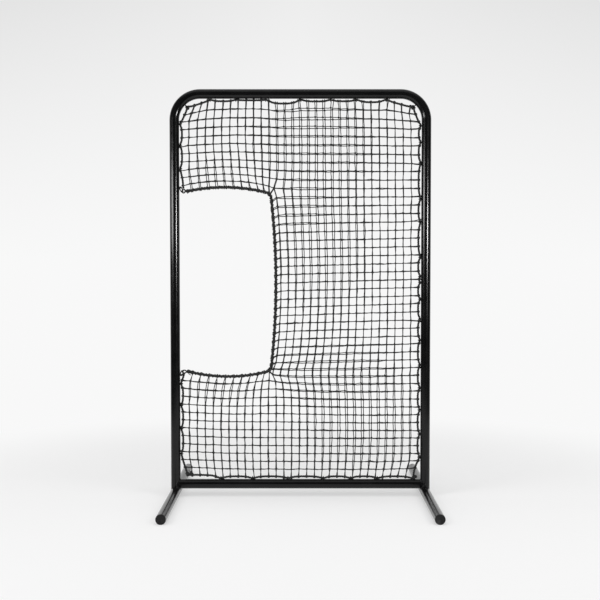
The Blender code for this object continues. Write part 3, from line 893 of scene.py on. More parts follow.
@dataclass
class EndPlugs:
    """The moulded plugs in the ends of the feet: a dished head with a rim, and a stem."""

    tube: TubeFrame
    finishes: Finishes
    head: float = 0.004
    rounding: float = 0.0016
    rounding_steps: int = 5
    stem: float = 0.016
    stem_taper: float = 0.004
    clearance: float = 0.0003
    dish_depth: float = 0.0008
    dish_share: float = 0.58
    step_depth: float = 0.0005
    step_shares: tuple = (0.60, 0.74)
    rim_share: float = 0.77
    gate_radius: float = 0.0036
    gate_depth: float = 0.0003
    gate_slope: float = 0.0004
    nose_inset: float = 0.002
    sides: int = 48

    def profile(self) -> list[tuple[float, float]]:
        """Draws the turned outline.

        Returns:
            Its radii and heights, from the middle of the face to the end of the stem.
        """
        radius = self.tube.radius
        bore = radius - self.tube.wall - self.clearance
        angles = [QUARTER_TURN * (1 - step / self.rounding_steps) for step in range(self.rounding_steps + 1)]
        stem_end = -self.head - self.stem
        return [
            (0.0, -self.dish_depth - self.gate_depth),
            (self.gate_radius, -self.dish_depth - self.gate_depth),
            (self.gate_radius + self.gate_slope, -self.dish_depth),
            (radius * self.dish_share, -self.dish_depth),
            *((radius * share, -self.step_depth) for share in self.step_shares),
            (radius * self.rim_share, 0.0),
            *(
                (radius + self.rounding * (math.cos(angle) - 1), self.rounding * (math.sin(angle) - 1))
                for angle in angles
            ),
            (radius, -self.head),
            (bore, -self.head),
            (bore, stem_end),
            (bore - self.nose_inset, stem_end - self.stem_taper),
            (0.0, stem_end - self.stem_taper),
        ]

    def plug(self, name: str) -> bpy.types.Object:
        """Turns a plug about Z.

        Args:
            name: Its name.

        Returns:
            The plug, its face at z = 0 and its stem below.
        """
        shape = bmesh.new()
        points = [shape.verts.new((x, 0, z)) for x, z in self.profile()]
        edges = [shape.edges.new(pair) for pair in zip(points, points[1:])]
        bmesh.ops.spin(shape, geom=points + edges, axis=(0, 0, 1), angle=FULL_TURN, steps=self.sides)
        bmesh.ops.remove_doubles(shape, verts=shape.verts, dist=1e-6)
        return smooth_piece(name, shape, self.finishes.plastic)

    def build(self) -> None:
        """Puts a plug in each end of each foot."""
        for side, sign, body in SIDES:
            for end, way in (("front", -1), ("rear", 1)):
                node = f"{side}_{end}_plug"
                low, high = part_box(node)
                piece = self.plug(node + "_cap")
                face = (sign * self.tube.upright_x, low.y if way < 0 else high.y, self.tube.foot_z)
                piece.data.transform(Matrix.Translation(face) @ Matrix.Rotation(-way * QUARTER_TURN, 4, "X"))
                put(piece, body, [node])


# Ropes


@dataclass(frozen=True)
class Tie:
    """A place where an eye holds the edge rope: its foot, its two directions and the rope's stand-off."""

    node: str
    foot: np.ndarray
    inward: np.ndarray
    along: np.ndarray
    stand_off: float

    @property
    def rope_point(self) -> np.ndarray:
        """Where the rope's middle passes through the eye."""
        return self.foot + self.inward * self.stand_off


class RopeLine:
    """A rope's middle line in the net's plane: a smooth curve through chosen points, evenly stepped."""

    step = 0.003
    steps_per_span = 12

    def __init__(self, points: Sequence[np.ndarray]) -> None:
        """Draws the curve.

        Args:
            points: The points that it goes through, as x and z.
        """
        smooth = self.drawn(np.array(points, float))
        lengths = np.concatenate([[0.0], np.cumsum(np.linalg.norm(np.diff(smooth, axis=0), axis=1))])
        self.length = float(lengths[-1])
        self.places = np.linspace(0.0, self.length, int(self.length / self.step) + 1)
        self.points = np.column_stack([np.interp(self.places, lengths, smooth[:, axis]) for axis in (0, 1)])

    def drawn(self, points: np.ndarray) -> np.ndarray:
        """Draws a smooth centripetal curve.

        Args:
            points: The points that it goes through.

        Returns:
            The curve's points.
        """
        padded = np.vstack([2 * points[0] - points[1], points, 2 * points[-1] - points[-2]])
        gaps = np.maximum(np.linalg.norm(np.diff(padded, axis=0), axis=1), 1e-6) ** 0.5
        t = np.linspace(0, 1, self.steps_per_span, endpoint=False)[:, None]
        drawn = []
        for index in range(len(points) - 1):
            before, start, end, after = padded[index : index + 4]
            first, middle, last = gaps[index : index + 3]
            leave = (end - start) + middle * ((start - before) / first - (end - before) / (first + middle))
            arrive = (end - start) + middle * ((after - end) / last - (after - start) / (middle + last))
            drawn.append(
                (2 * t**3 - 3 * t**2 + 1) * start + (t**3 - 2 * t**2 + t) * leave
                + (3 * t**2 - 2 * t**3) * end + (t**3 - t**2) * arrive
            )
        return np.vstack([*drawn, points[-1:]])

    def at(self, place: float) -> np.ndarray:
        """The point at a distance along the rope."""
        return np.array([np.interp(place, self.places, self.points[:, axis]) for axis in (0, 1)])

    def tangent(self, place: float) -> np.ndarray:
        """The rope's direction at a distance along it."""
        way = self.at(place + self.step) - self.at(place - self.step)
        return way / np.linalg.norm(way)

    def nearest(self, point: Sequence[float]) -> float:
        """The distance along the rope of its nearest point to the given one."""
        return float(self.places[np.argmin(np.linalg.norm(self.points - np.array(point), axis=1))])


@dataclass
class Ropes:
    """The edge rope in its eyes, and the thicker window rope that is lashed and roped to the net's cut."""

    tube: TubeFrame
    finishes: Finishes
    edge_radius: float = 0.005
    seat: float = 0.0004
    eye_hold: float = 0.004
    corner_extension: float = 0.012
    side_bow: float = 0.009
    corner_bow: float = 0.002
    bottom_bow: float = 0.0085
    top_bows: tuple = (0.007, 0.002, 0.019, 0.008, 0.007, 0.012)
    bow_share: float = 0.12
    bow_shares: tuple = (0.2, 0.35, 0.5, 0.65, 0.8)
    bow_fullness: float = 2.6
    corner_from_upright: float = 0.062
    corner_from_rail: float = 0.047
    right_turn: tuple = ((0.012, 0.045), (0.003, 0.008))
    left_turn: tuple = ((0.13, -0.004), (0.05, 0.0), (0.006, 0.002), (-0.012, 0.04))
    first_end: tuple = (-0.0133, 0.015)
    first_lead: tuple = (0.003, -0.004)
    last_lead: tuple = (0.001, 0.004)
    last_end: tuple = (-0.0125, -0.008)
    window_radius: float = 0.007
    window_arch: float = 0.026
    window_drop: float = 0.013
    window_sag: float = 0.028
    window_rise: float = 0.005
    window_side_bow: float = 0.027
    window_corner_reach: float = 0.026
    run_points: int = 15
    turn_points: int = 5
    strand_sides: int = 7
    edge_lay: tuple = (0.0042, 0.0031, 0.0029, 0.034)
    window_lay: tuple = (0.0042, 0.0042, 0.0039, 0.045)
    lashing_lay: tuple = (0.0018, 0.0086, 0.0016, 0.023)

    def __post_init__(self) -> None:
        """Works out the ties and the routes of both ropes."""
        self.upper_knot, self.lower_knot = (self.knot_middle(end) for end in ("upper", "lower"))
        self.stand_off = self.seat + self.edge_radius
        tube = self.tube
        rail_top = tube.rail_z + tube.radius
        inner_x = tube.upright_x - tube.radius
        self.left = self.ties("left", (1, 0), (0, 1), x=-inner_x)
        self.top = self.ties("top", (0, -1), (1, 0), z=tube.top_z - tube.radius)
        self.right = self.ties("right", (-1, 0), (0, -1), x=inner_x)
        self.bottom = self.ties("bottom", (0, 1), (-1, 0), z=rail_top)
        self.left_corner, self.right_corner = (self.corner_tie(sign) for sign in (-1, 1))
        self.turn = np.array([tube.upright_x - self.corner_from_upright, tube.rail_z + self.corner_from_rail])
        self.edge = RopeLine(self.edge_points())
        self.window = RopeLine(self.window_points())

    @staticmethod
    def knot_middle(end: str) -> np.ndarray:
        """The middle of a window knot's box, in the net's plane."""
        low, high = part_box(end + "_window_knot")
        return np.array([(low.x + high.x) / 2, (low.z + high.z) / 2])

    def ties(self, tube: str, inward: tuple, along: tuple, **line: float) -> list[Tie]:
        """The ties on one tube, in the order of their eyes' numbers.

        Args:
            tube: The tube's side, as its eyes' names give it.
            inward: The direction from the tube into the net.
            along: The direction in which the rope passes.
            line: The x or the z of the tube's inner side.

        Returns:
            The ties.
        """
        found = []
        for node in sorted(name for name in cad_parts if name.startswith(tube + "_rope_eye_")):
            low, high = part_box(node)
            foot = (line.get("x", (low.x + high.x) / 2), line.get("z", (low.z + high.z) / 2))
            found.append(Tie(node, *np.array((foot, inward, along), float), self.stand_off))
        return found

    def corner_tie(self, sign: int) -> Tie:
        """Makes the tie at the middle of a top bend.

        Args:
            sign: The bend's side, left (-1) or right (+1).

        Returns:
            The tie.
        """
        tube = self.tube
        inset = tube.bend_radius - SLOPE * (tube.bend_radius - tube.radius)
        foot = (sign * (tube.upright_x - inset), tube.top_z - inset)
        directions = np.array((foot, (-sign * SLOPE, -SLOPE), (SLOPE, -sign * SLOPE)), float)
        node = ("left" if sign < 0 else "right") + "_corner_rope_eye_01"
        return Tie(node, *directions, self.stand_off + self.corner_extension)

    def bowed(self, ties: Sequence[Tie], bows: Sequence[float]) -> list[np.ndarray]:
        """The rope's points through a run of ties: straight in each eye, and bowed into the net between.

        Args:
            ties: The ties in order.
            bows: The bow of each span.

        Returns:
            The points.
        """
        points = []
        for here, there, bow in zip(ties, ties[1:], bows):
            start, end = here.rope_point, there.rope_point
            bow = min(bow, self.bow_share * np.linalg.norm(end - start))
            hold = here.along * self.eye_hold
            points += [start - hold, start + hold]
            for share in self.bow_shares:
                rise = 1 - abs(2 * share - 1) ** self.bow_fullness
                points.append(start + (end - start) * share + here.inward * bow * rise)
        hold = ties[-1].along * self.eye_hold
        return [*points, ties[-1].rope_point - hold, ties[-1].rope_point + hold]

    def edge_points(self) -> list[np.ndarray]:
        """Routes the edge rope from the upper window knot round the hoop to the lower one.

        It keeps the ties that the knots' links reach as link_ties.

        Returns:
            Its points.
        """
        upper = [tie for tie in self.left if tie.foot[1] > self.upper_knot[1]]
        lower = [tie for tie in self.left if tie.foot[1] < self.lower_knot[1]]
        self.link_ties = (upper[0], lower[-1])
        upper, lower = upper[1:], lower[:-1]
        start, end = self.upper_knot + self.first_end, self.lower_knot + self.last_end
        around = [*upper, self.left_corner, *self.top, self.right_corner, *self.right]
        left, right = ([self.side_bow] * (len(run) - 1) for run in (upper, self.right))
        corner = [self.corner_bow] * 2
        return [
            start,
            (start + upper[0].rope_point) / 2 + self.first_lead,
            *self.bowed(around, [*left, *corner, *self.top_bows, *corner, *right]),
            *(self.turn + shift for shift in self.right_turn),
            *self.bowed(self.bottom, [self.bottom_bow] * len(self.bottom)),
            *(self.turn * (-1, 1) + shift for shift in self.left_turn),
            *self.bowed(lower, [self.side_bow] * len(lower)),
            (lower[-1].rope_point + end) / 2 + self.last_lead,
            end,
        ]

    def rounded(self, before: np.ndarray, after: np.ndarray) -> np.ndarray:
        """Joins two runs of points by a rounded turn where they meet.

        Args:
            before: The first run, up to the corner.
            after: The second run, from the corner on.

        Returns:
            The points of both runs and of the turn.
        """
        corner = after[0]
        reach = self.window_corner_reach
        before, after = (run[np.linalg.norm(run - corner, axis=1) >= reach] for run in (before, after))
        start, end = (
            corner + (other - corner) / np.linalg.norm(other - corner) * reach
            for other in (before[-1], after[0])
        )
        share = np.linspace(0, 1, self.turn_points)[:, None]
        turn = (1 - share) ** 2 * start + 2 * share * (1 - share) * corner + share**2 * end
        return np.vstack([before, turn, after])

    def window_points(self) -> np.ndarray:
        """Routes the window rope along its top, down its side and back along its sill.

        It keeps the rope's two corners as window_corners.

        Returns:
            Its points.
        """
        low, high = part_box("window_rope")
        side_x = high.x - self.window_radius - self.window_side_bow
        t = np.linspace(0, 1, self.run_points)
        arch = 4 * t * (1 - t)
        x = low.x + (side_x - low.x) * t
        top = np.column_stack([x, self.upper_knot[1] + self.window_arch * arch - self.window_drop * t])
        sill = np.column_stack([x, self.lower_knot[1] - self.window_sag * arch + self.window_rise * t])
        side = np.linspace(top[-1], sill[-1], self.run_points) + np.outer(arch, (self.window_side_bow, 0))
        self.window_corners = (top[-1], sill[-1])
        return self.rounded(self.rounded(top, side), sill[::-1])

    def build(self) -> None:
        """Lays both ropes from three strands, and winds the window rope's lashing round it."""
        laid = self.laid_tree("laid_rope", strands=3)
        wound = self.laid_tree("rope_lashing", strands=1)
        rope, twine = self.finishes.rope, self.finishes.lashing
        for name, line, tree, lay, finish, slot, replaced in (
            ("edge_rope_laid", self.edge, laid, self.edge_lay, rope, Slot.ROPE, ["edge_rope"]),
            ("window_rope_laid", self.window, laid, self.window_lay, rope, Slot.ROPE, ["window_rope"]),
            ("window_rope_lashing", self.window, wound, self.lashing_lay, twine, Slot.NET, []),
        ):
            guide = guide_lines(name, [in_space(line.points)])
            put(tree.build(guide, finish, **dict(zip(LAY_SIZES, lay))), Body.FRAME, replaced)

    def laid_tree(self, name: str, strands: int) -> GeometryTree:
        """Makes a tree that winds strands round each guide line, which lies in a plane across Y.

        Args:
            name: The tree's name.
            strands: How many strands there are.

        Returns:
            The tree, with inputs for the step along the line, the lay, the strand and its pitch.
        """
        tree = GeometryTree(name)
        step, lay_radius, strand_radius, pitch = (tree.input(size) for size in LAY_SIZES)
        sizes = {"Curve": tree.guide_curves(), "Length": step}
        even = tree.add("GeometryNodeResampleCurve", {"mode": "LENGTH"}, **sizes).outputs["Curve"]
        along = tree.add("GeometryNodeSplineParameter").outputs["Length"]
        tangent = tree.add("GeometryNodeInputTangent").outputs["Tangent"]
        across = tree.vector_math("CROSS_PRODUCT", tangent, (0.0, 1.0, 0.0))
        wound = []
        for strand in range(strands):
            turns = tree.math("ADD", tree.math("DIVIDE", along, pitch), strand / strands)
            angle = tree.math("MULTIPLY", turns, FULL_TURN)
            out = tree.vector(Y=tree.math("COSINE", angle))
            side = tree.scaled(across, tree.math("SINE", angle))
            offset = tree.scaled(tree.vector_math("ADD", out, side), lay_radius)
            moved = tree.add("GeometryNodeSetPosition", Geometry=even, Offset=offset).outputs["Geometry"]
            wound.append(tree.sweep(moved, strand_radius, self.strand_sides))
        return tree.close(tree.joined(*wound))


@dataclass
class RopeEyes:
    """The rod eyes that hold the edge rope, each bent from one rod and welded to its tube."""

    ropes: Ropes
    finishes: Finishes
    rod_radius: float = 0.0025
    rod_sides: int = 10
    leg_offset: float = 0.0081
    leg_depth: float = 0.0022
    crown_points: int = 13
    bead_share: float = 1.75
    bead_flatness: float = 0.45
    bead_depth: float = 0.0010

    def tree(self) -> GeometryTree:
        """Makes a tree that stands a bent rod eye on each guide point, with a bead of weld at each leg.

        Returns:
            The tree, with inputs for the rod, the legs and the crown.
        """
        tree = GeometryTree("rope_eyes")
        rod, leg, height = (tree.input(size) for size in ("Rod Radius", "Leg Offset", "Crown Height"))
        arc = tree.add(
            "GeometryNodeCurveArc", {"mode": "RADIUS"},
            Resolution=self.crown_points, Radius=leg, Sweep_Angle=math.pi,
        )
        upright = (QUARTER_TURN, 0.0, QUARTER_TURN)
        crown = tree.moved(arc.outputs["Curve"], Rotation=upright, Translation=tree.vector(Z=height))
        parts = [tree.sweep(crown, rod, self.rod_sides)]
        for sign in (-1.0, 1.0):
            y = tree.math("MULTIPLY", leg, sign)
            ends = {"Start": tree.vector(Y=y, Z=-self.leg_depth), "End": tree.vector(Y=y, Z=height)}
            shank = tree.add("GeometryNodeCurvePrimitiveLine", **ends).outputs["Curve"]
            parts.append(tree.sweep(shank, rod, self.rod_sides))
            bead = tree.ball(segments=12, rings=7, radius=tree.math("MULTIPLY", rod, self.bead_share))
            seat = tree.vector(Y=y, Z=-self.bead_depth)
            parts.append(tree.moved(bead, Scale=(1.0, 1.0, self.bead_flatness), Translation=seat))
        turn = tree.facing(tree.named("facing", "FLOAT_VECTOR"), (0.0, 1.0, 0.0))
        return tree.close(tree.copies(tree.joined(*parts), turn))

    def build(self) -> None:
        """Puts an eye at each tie, with longer legs in the corners."""
        ropes = self.ropes
        tree = self.tree()
        runs = {
            "rope_eyes": [*ropes.left, *ropes.top, *ropes.right, *ropes.bottom],
            "corner_rope_eyes": [ropes.left_corner, ropes.right_corner],
        }
        for name, ties in runs.items():
            feet = in_space(np.array([tie.foot for tie in ties]))
            facing = in_space(np.array([tie.inward for tie in ties]))
            eyes = tree.build(
                guide_lines(name, [feet], {"facing": facing}), self.finishes.coat,
                Rod_Radius=self.rod_radius, Leg_Offset=self.leg_offset, Crown_Height=ties[0].stand_off,
            )
            put(eyes, Body.FRAME, [tie.node for tie in ties])


@dataclass
class RopeKnots:
    """The roped corners: rings and links at the window's knots, and knots at the net's four corners."""

    ropes: Ropes
    finishes: Finishes
    ring_radii: tuple = ((0.0078, 0.0100), (0.0110, 0.0074))
    ring_rope: float = 0.0034
    link_rope: float = 0.0026
    link_half_width: float = 0.0056
    whippings: tuple = (((0.005, 0.0), (0.012, -0.001)), ((0.006, 0.001), (0.016, 0.0), (0.028, -0.003)))
    whipping_size: float = 0.0100
    whipping_rope: float = 0.0038
    whipping_turns: tuple = (0.6, 0.9)
    corner_size: float = 0.0130
    corner_rope: float = 0.0040
    corner_turns: tuple = (0.2, 1.4, 2.2, 0.9, 1.7)
    left_knots: tuple = ((0.000, 0.004), (0.019, 0.007))
    right_knot: tuple = (0.0085, -0.010)
    tail_rope: float = 0.0020
    tail_start: tuple = (0.006, 0.0)
    tail_depth: float = 0.006
    tails: tuple = (
        ((0.016, -0.017), -0.004),
        ((0.004, -0.014), 0.002),
        ((-0.012, 0.018), 0.004),
        ((-0.012, 0.016), 0.003),
    )
    ring_shift: tuple = (-0.0125, 0.0)
    ring_points: int = 24
    turn_points: int = 7
    tail_points: int = 8
    knot_points: int = 42
    knot_width: float = 4.2
    knot_depth: float = 0.42
    sides: int = 10

    def ring(self, middle: np.ndarray, radii: tuple) -> np.ndarray:
        """A round of rope about a point, of the radii across and in height."""
        angles = np.arange(self.ring_points) * FULL_TURN / self.ring_points
        return in_space(middle + np.column_stack([np.cos(angles), np.sin(angles)]) * radii)

    def link(self, start: np.ndarray, end: np.ndarray) -> np.ndarray:
        """Draws a loop of rope long round two points.

        Args:
            start: One point.
            end: The other point.

        Returns:
            The loop's points.
        """
        way = (end - start) / np.linalg.norm(end - start)
        side = np.array((-way[1], way[0]))
        points = []
        for centre, sign in ((end, 1), (start, -1)):
            for angle in np.linspace(-QUARTER_TURN, QUARTER_TURN, self.turn_points):
                round_end = way * math.cos(angle) + side * math.sin(angle)
                points.append(centre + sign * round_end * self.link_half_width)
        return in_space(np.array(points))

    def overhand(self, middle: np.ndarray, size: float, turn: float) -> np.ndarray:
        """Draws the line of a tight knot.

        Args:
            middle: Its middle.
            size: Its width.
            turn: How far it is turned in the net's plane.

        Returns:
            The line's points.
        """
        t = np.arange(self.knot_points) * FULL_TURN / self.knot_points
        x, z = np.sin(t) + 2 * np.sin(2 * t), np.cos(t) - 2 * np.cos(2 * t)
        cosine, sine = math.cos(turn), math.sin(turn)
        flat = np.column_stack([x * cosine - z * sine, x * sine + z * cosine])
        knot = in_space(middle + flat * size / self.knot_width)
        knot[:, 1] = -np.sin(3 * t) * size * self.knot_depth
        return knot

    def tail(self, start: np.ndarray, reach: tuple, curl: float) -> np.ndarray:
        """Draws a loose twine end that leaves a knot.

        Args:
            start: Where it leaves the knot.
            reach: How far it reaches across and in height.
            curl: How far its middle rises off the straight line.

        Returns:
            Its points.
        """
        t = np.linspace(0, 1, self.tail_points)
        loose = in_space(start + np.outer(t, reach) + np.outer(np.sin(t * math.pi) * curl, (0.0, 1.0)))
        loose[:, 1] = -self.tail_depth * (1 + t)
        return loose

    def lay(
        self, name: str, lines: list[np.ndarray], radius: float, node: str = "", closed: bool = True
    ) -> None:
        """Makes a piece of plain rope along lines.

        Args:
            name: The piece's name.
            lines: The lines.
            radius: The rope's radius.
            node: The CAD node that it replaces, if any.
            closed: Whether each line's end joins its start.
        """
        tree = GeometryTree("cordage")
        tree.close(tree.sweep(tree.guide_curves(), tree.input("Radius"), self.sides))
        piece = tree.build(guide_lines(name, lines, closed=closed), self.finishes.rope, Radius=radius)
        put(piece, Body.FRAME, [node] if node else [])

    def build(self) -> None:
        """Makes every ring, link, knot and tail."""
        ropes = self.ropes
        first, more = self.whipping_turns
        knots = (ropes.upper_knot, ropes.lower_knot)
        ends = zip(("upper", "lower"), knots, ropes.link_ties, self.ring_radii, self.whippings)
        for end, knot, tie, radii, shifts in ends:
            middle = knot + self.ring_shift
            self.lay(end + "_knot_ring", [self.ring(middle, radii)], self.ring_rope, end + "_window_knot")
            link = self.link(tie.rope_point, middle - (radii[0], 0.0))
            self.lay(end + "_knot_link", [link], self.link_rope)
            turns = [
                self.overhand(knot + shift, self.whipping_size, first + more * turn)
                for turn, shift in enumerate(shifts)
            ]
            self.lay(end + "_knot_whipping", turns, self.whipping_rope)
        corners = [ropes.left_corner.rope_point, ropes.right_corner.rope_point]
        corners += [ropes.turn * (-1, 1) + shift for shift in self.left_knots]
        corners.append(ropes.turn + self.right_knot)
        wound = [
            self.overhand(place, self.corner_size, turn) for place, turn in zip(corners, self.corner_turns)
        ]
        self.lay("net_corner_knots", wound, self.corner_rope)
        starts = [knot + self.tail_start for knot in reversed(knots)] + corners[-2:]
        loose = [self.tail(start, *tail) for start, tail in zip(starts, self.tails)]
        self.lay("knot_tails", loose, self.tail_rope, closed=False)


# Net


@dataclass(frozen=True)
class Drift:
    """A patch of the net where the rear ply hangs off the front one."""

    centre: tuple
    reach: tuple
    shift: tuple
    billow: float


@dataclass(frozen=True)
class Spread:
    """How a run of hitches is spread: its middle, its pitch, and how the pitch grows along it."""

    middle: float
    pitch: float
    growth: float

    def at(self, number: float) -> float:
        """The place of a hitch, by its number from the middle one."""
        return self.middle + self.pitch * number + self.growth * number**2


@dataclass
class NetShape:
    """The places of the net's crossings, solved as a web of taut links between the ropes."""

    ropes: Ropes
    columns: int = 30
    rows: int = 46
    window_column: int = 11
    window_rows: tuple = (11, 33)
    top_spread: Spread = Spread(-0.0020, 0.04057, 0.000053)
    bottom_spread: Spread = Spread(-0.0078, 0.04014, 0.0)
    right_spread: Spread = Spread(1.0600, -0.04255, 0.000040)
    flap_first: float = 0.048
    flap_pitch: float = 0.1008
    flap_last_shares: tuple = (0.927, 0.994)
    side_first_hitch: float = 0.037
    side_last_hitches: tuple = (0.064, 0.029, 0.005, -0.006)
    eye_clearance: float = 0.010
    left_insets: tuple = (0.7, 0.1)
    column_give: float = 0.25
    low_give: float = 0.15
    corner_pull: float = 3.0
    corner_link: float = 1.2
    left_link: float = 1.15
    side_link: tuple = (1.5, 0.2)
    low_side_link: tuple = (3.5, 1.0)
    flap_link: float = 0.8
    flap_first_row: int = 7
    sill_row_pull: float = 0.8
    sill_column_pull: float = 0.35
    sill_reach: float = 4.0
    row_shrink: float = 0.0035

    def __post_init__(self) -> None:
        """Hangs the web and solves it."""
        self.hitches: dict[Key, tuple[RopeLine, float]] = {}
        self.ends: dict[Key, np.ndarray] = {}
        self.hang()
        self.hang_window()
        self.lines = self.all_lines()
        self.crossings = self.solve()

    def hitch(self, side: str, number: int, rope: RopeLine, place: float) -> None:
        """Fixes an end of a net line on a rope, slid clear of any eye.

        Args:
            side: The side of the net that the end is on.
            number: The line's column or row.
            rope: The rope.
            place: How far along it the end is wanted.
        """
        if rope is self.ropes.edge:
            for tie_place in self.tie_places:
                if abs(place - tie_place) < self.eye_clearance:
                    place = tie_place + math.copysign(self.eye_clearance, place - tie_place)
        self.hitches[side, number] = (rope, place)
        self.ends[side, number] = rope.at(place)

    def hang(self) -> None:
        """Hitches the net lines' ends on the edge rope."""
        ropes = self.ropes
        edge = ropes.edge
        ties = [*ropes.left, *ropes.top, *ropes.right, *ropes.bottom]
        self.tie_places = [edge.nearest(tie.rope_point) for tie in ties]
        left_top, left_low = (
            edge.nearest(point) for point in (ropes.left_corner.rope_point, ropes.turn * (-1, 1))
        )
        top_z, bottom_z = (run[0].rope_point[1] for run in (ropes.top, ropes.bottom))
        for column in range(1, self.columns):
            off_middle = column - self.columns / 2
            self.hitch("top", column, edge, edge.nearest((self.top_spread.at(off_middle), top_z)))
            self.hitch("bottom", column, edge, edge.nearest((self.bottom_spread.at(off_middle), bottom_z)))
        for row in range(1, self.rows):
            level = self.right_spread.at(row - self.rows / 2)
            self.hitch("right", row, edge, edge.nearest((ropes.right[0].rope_point[0], level)))
        top_row, sill_row = self.window_rows
        upper, lower = self.left_insets
        for row in range(1, top_row):
            self.hitch("left", row, edge, left_top * (1 - row / (top_row - upper)))
        for row in range(sill_row + 1, self.rows):
            share = (row - sill_row - lower) / (self.rows - sill_row - lower)
            self.hitch("left", row, edge, edge.length + (left_low - edge.length) * share)

    def hang_window(self) -> None:
        """Hitches the cut lines on the window rope."""
        window = self.ropes.window
        upper, lower = (window.nearest(corner) for corner in self.ropes.window_corners)
        even_columns = self.window_column - len(self.flap_last_shares)
        shares = [self.flap_first + self.flap_pitch * step for step in range(even_columns)]
        for column, share in enumerate([*shares, *self.flap_last_shares], start=1):
            self.hitch("window_top", column, window, upper * share)
            self.hitch("sill", column, window, window.length + (lower - window.length) * share)
        top_row, sill_row = self.window_rows
        last = self.side_last_hitches
        evens = sill_row - top_row - len(last) + 1
        places = list(np.linspace(upper + self.side_first_hitch, lower - last[0], evens + 1))
        places += [lower - distance for distance in last[1:]]
        for row, place in enumerate(places, start=top_row):
            self.hitch("side", row, window, place)
        self.hitch("corner", top_row - 1, window, upper)

    def all_lines(self) -> list[list[Key]]:
        """Lists every line of twine, columns first.

        Returns:
            Each line as the keys of its ends and crossings.
        """
        top_row, sill_row = self.window_rows
        lines: list[list[Key]] = []
        for column in range(1, self.columns):
            runs = [("top", 1, self.rows, "bottom")]
            if column <= self.window_column:
                runs = [("top", 1, top_row, "window_top"), ("sill", sill_row + 1, self.rows, "bottom")]
            for start, first, after, end in runs:
                crossings = ((column, row) for row in range(first, after))
                lines.append([(start, column), *crossings, (end, column)])
        for row in range(1, self.rows):
            beside_window = top_row <= row <= sill_row
            first = self.window_column + 1 if beside_window else 1
            start = "side" if beside_window else "left"
            crossings = ((column, row) for column in range(first, self.columns))
            lines.append([(start, row), *crossings, ("right", row)])
        lines.append([("corner", top_row - 1), (self.window_column + 1, top_row - 1)])
        return lines

    def tension(self, here: Key, there: Key) -> tuple[float, float]:
        """Says how taut a link is.

        Args:
            here: The end of the link that comes first in its line.
            there: Its other end.

        Returns:
            Its tension across the frame and in height.
        """
        top_row, sill_row = self.window_rows
        start, row = here
        at_ropes = {
            "corner": (self.corner_link, self.corner_pull),
            "side": self.low_side_link if row >= sill_row - 1 else self.side_link,
            "left": (self.left_link, 1.0),
            "top": (self.column_give, self.corner_pull if row == self.window_column + 1 else 1.0),
            "sill": (self.column_give, 1.0),
        }
        if start in at_ropes:
            return at_ropes[start]
        off_window = start - self.window_column
        if there[0] not in (start, "window_top", "bottom"):
            pull = self.sill_row_pull if row in (sill_row - 1, sill_row) else 0.0
            return 1.0 + pull * math.exp(-(off_window + 1) / self.sill_reach), 1.0
        if off_window == 1 and row < top_row - 1:
            return self.column_give, self.corner_pull
        if off_window <= 0 and self.flap_first_row <= row < top_row:
            return self.flap_link, 1.0
        pull = self.sill_column_pull if off_window > 0 else 0.0
        off_corner = (off_window - 1 + (row - sill_row) ** 2) / self.sill_reach
        height = 1.0 + pull * math.exp(-off_corner) + self.row_shrink * (row - self.rows / 2)
        return (self.low_give if row > sill_row else self.column_give), height

    def solve(self) -> dict[Key, np.ndarray]:
        """Balances the web.

        Returns:
            The place of each crossing, as x and z, by its column and row.
        """
        free: dict[Key, int] = {}
        for line in self.lines:
            for key in line[1:-1]:
                free.setdefault(key, len(free))
        solved = []
        for axis in (0, 1):
            system = np.zeros((len(free), len(free)))
            loads = np.zeros(len(free))
            for line in self.lines:
                for link in zip(line, line[1:]):
                    tension = self.tension(*link)[axis]
                    for near, far in (link, link[::-1]):
                        if near not in free:
                            continue
                        system[free[near], free[near]] += tension
                        if far in free:
                            system[free[near], free[far]] -= tension
                        else:
                            loads[free[near]] += tension * self.ends[far][axis]
            solved.append(np.linalg.solve(system, loads))
        return {key: np.array([solved[0][index], solved[1][index]]) for key, index in free.items()}


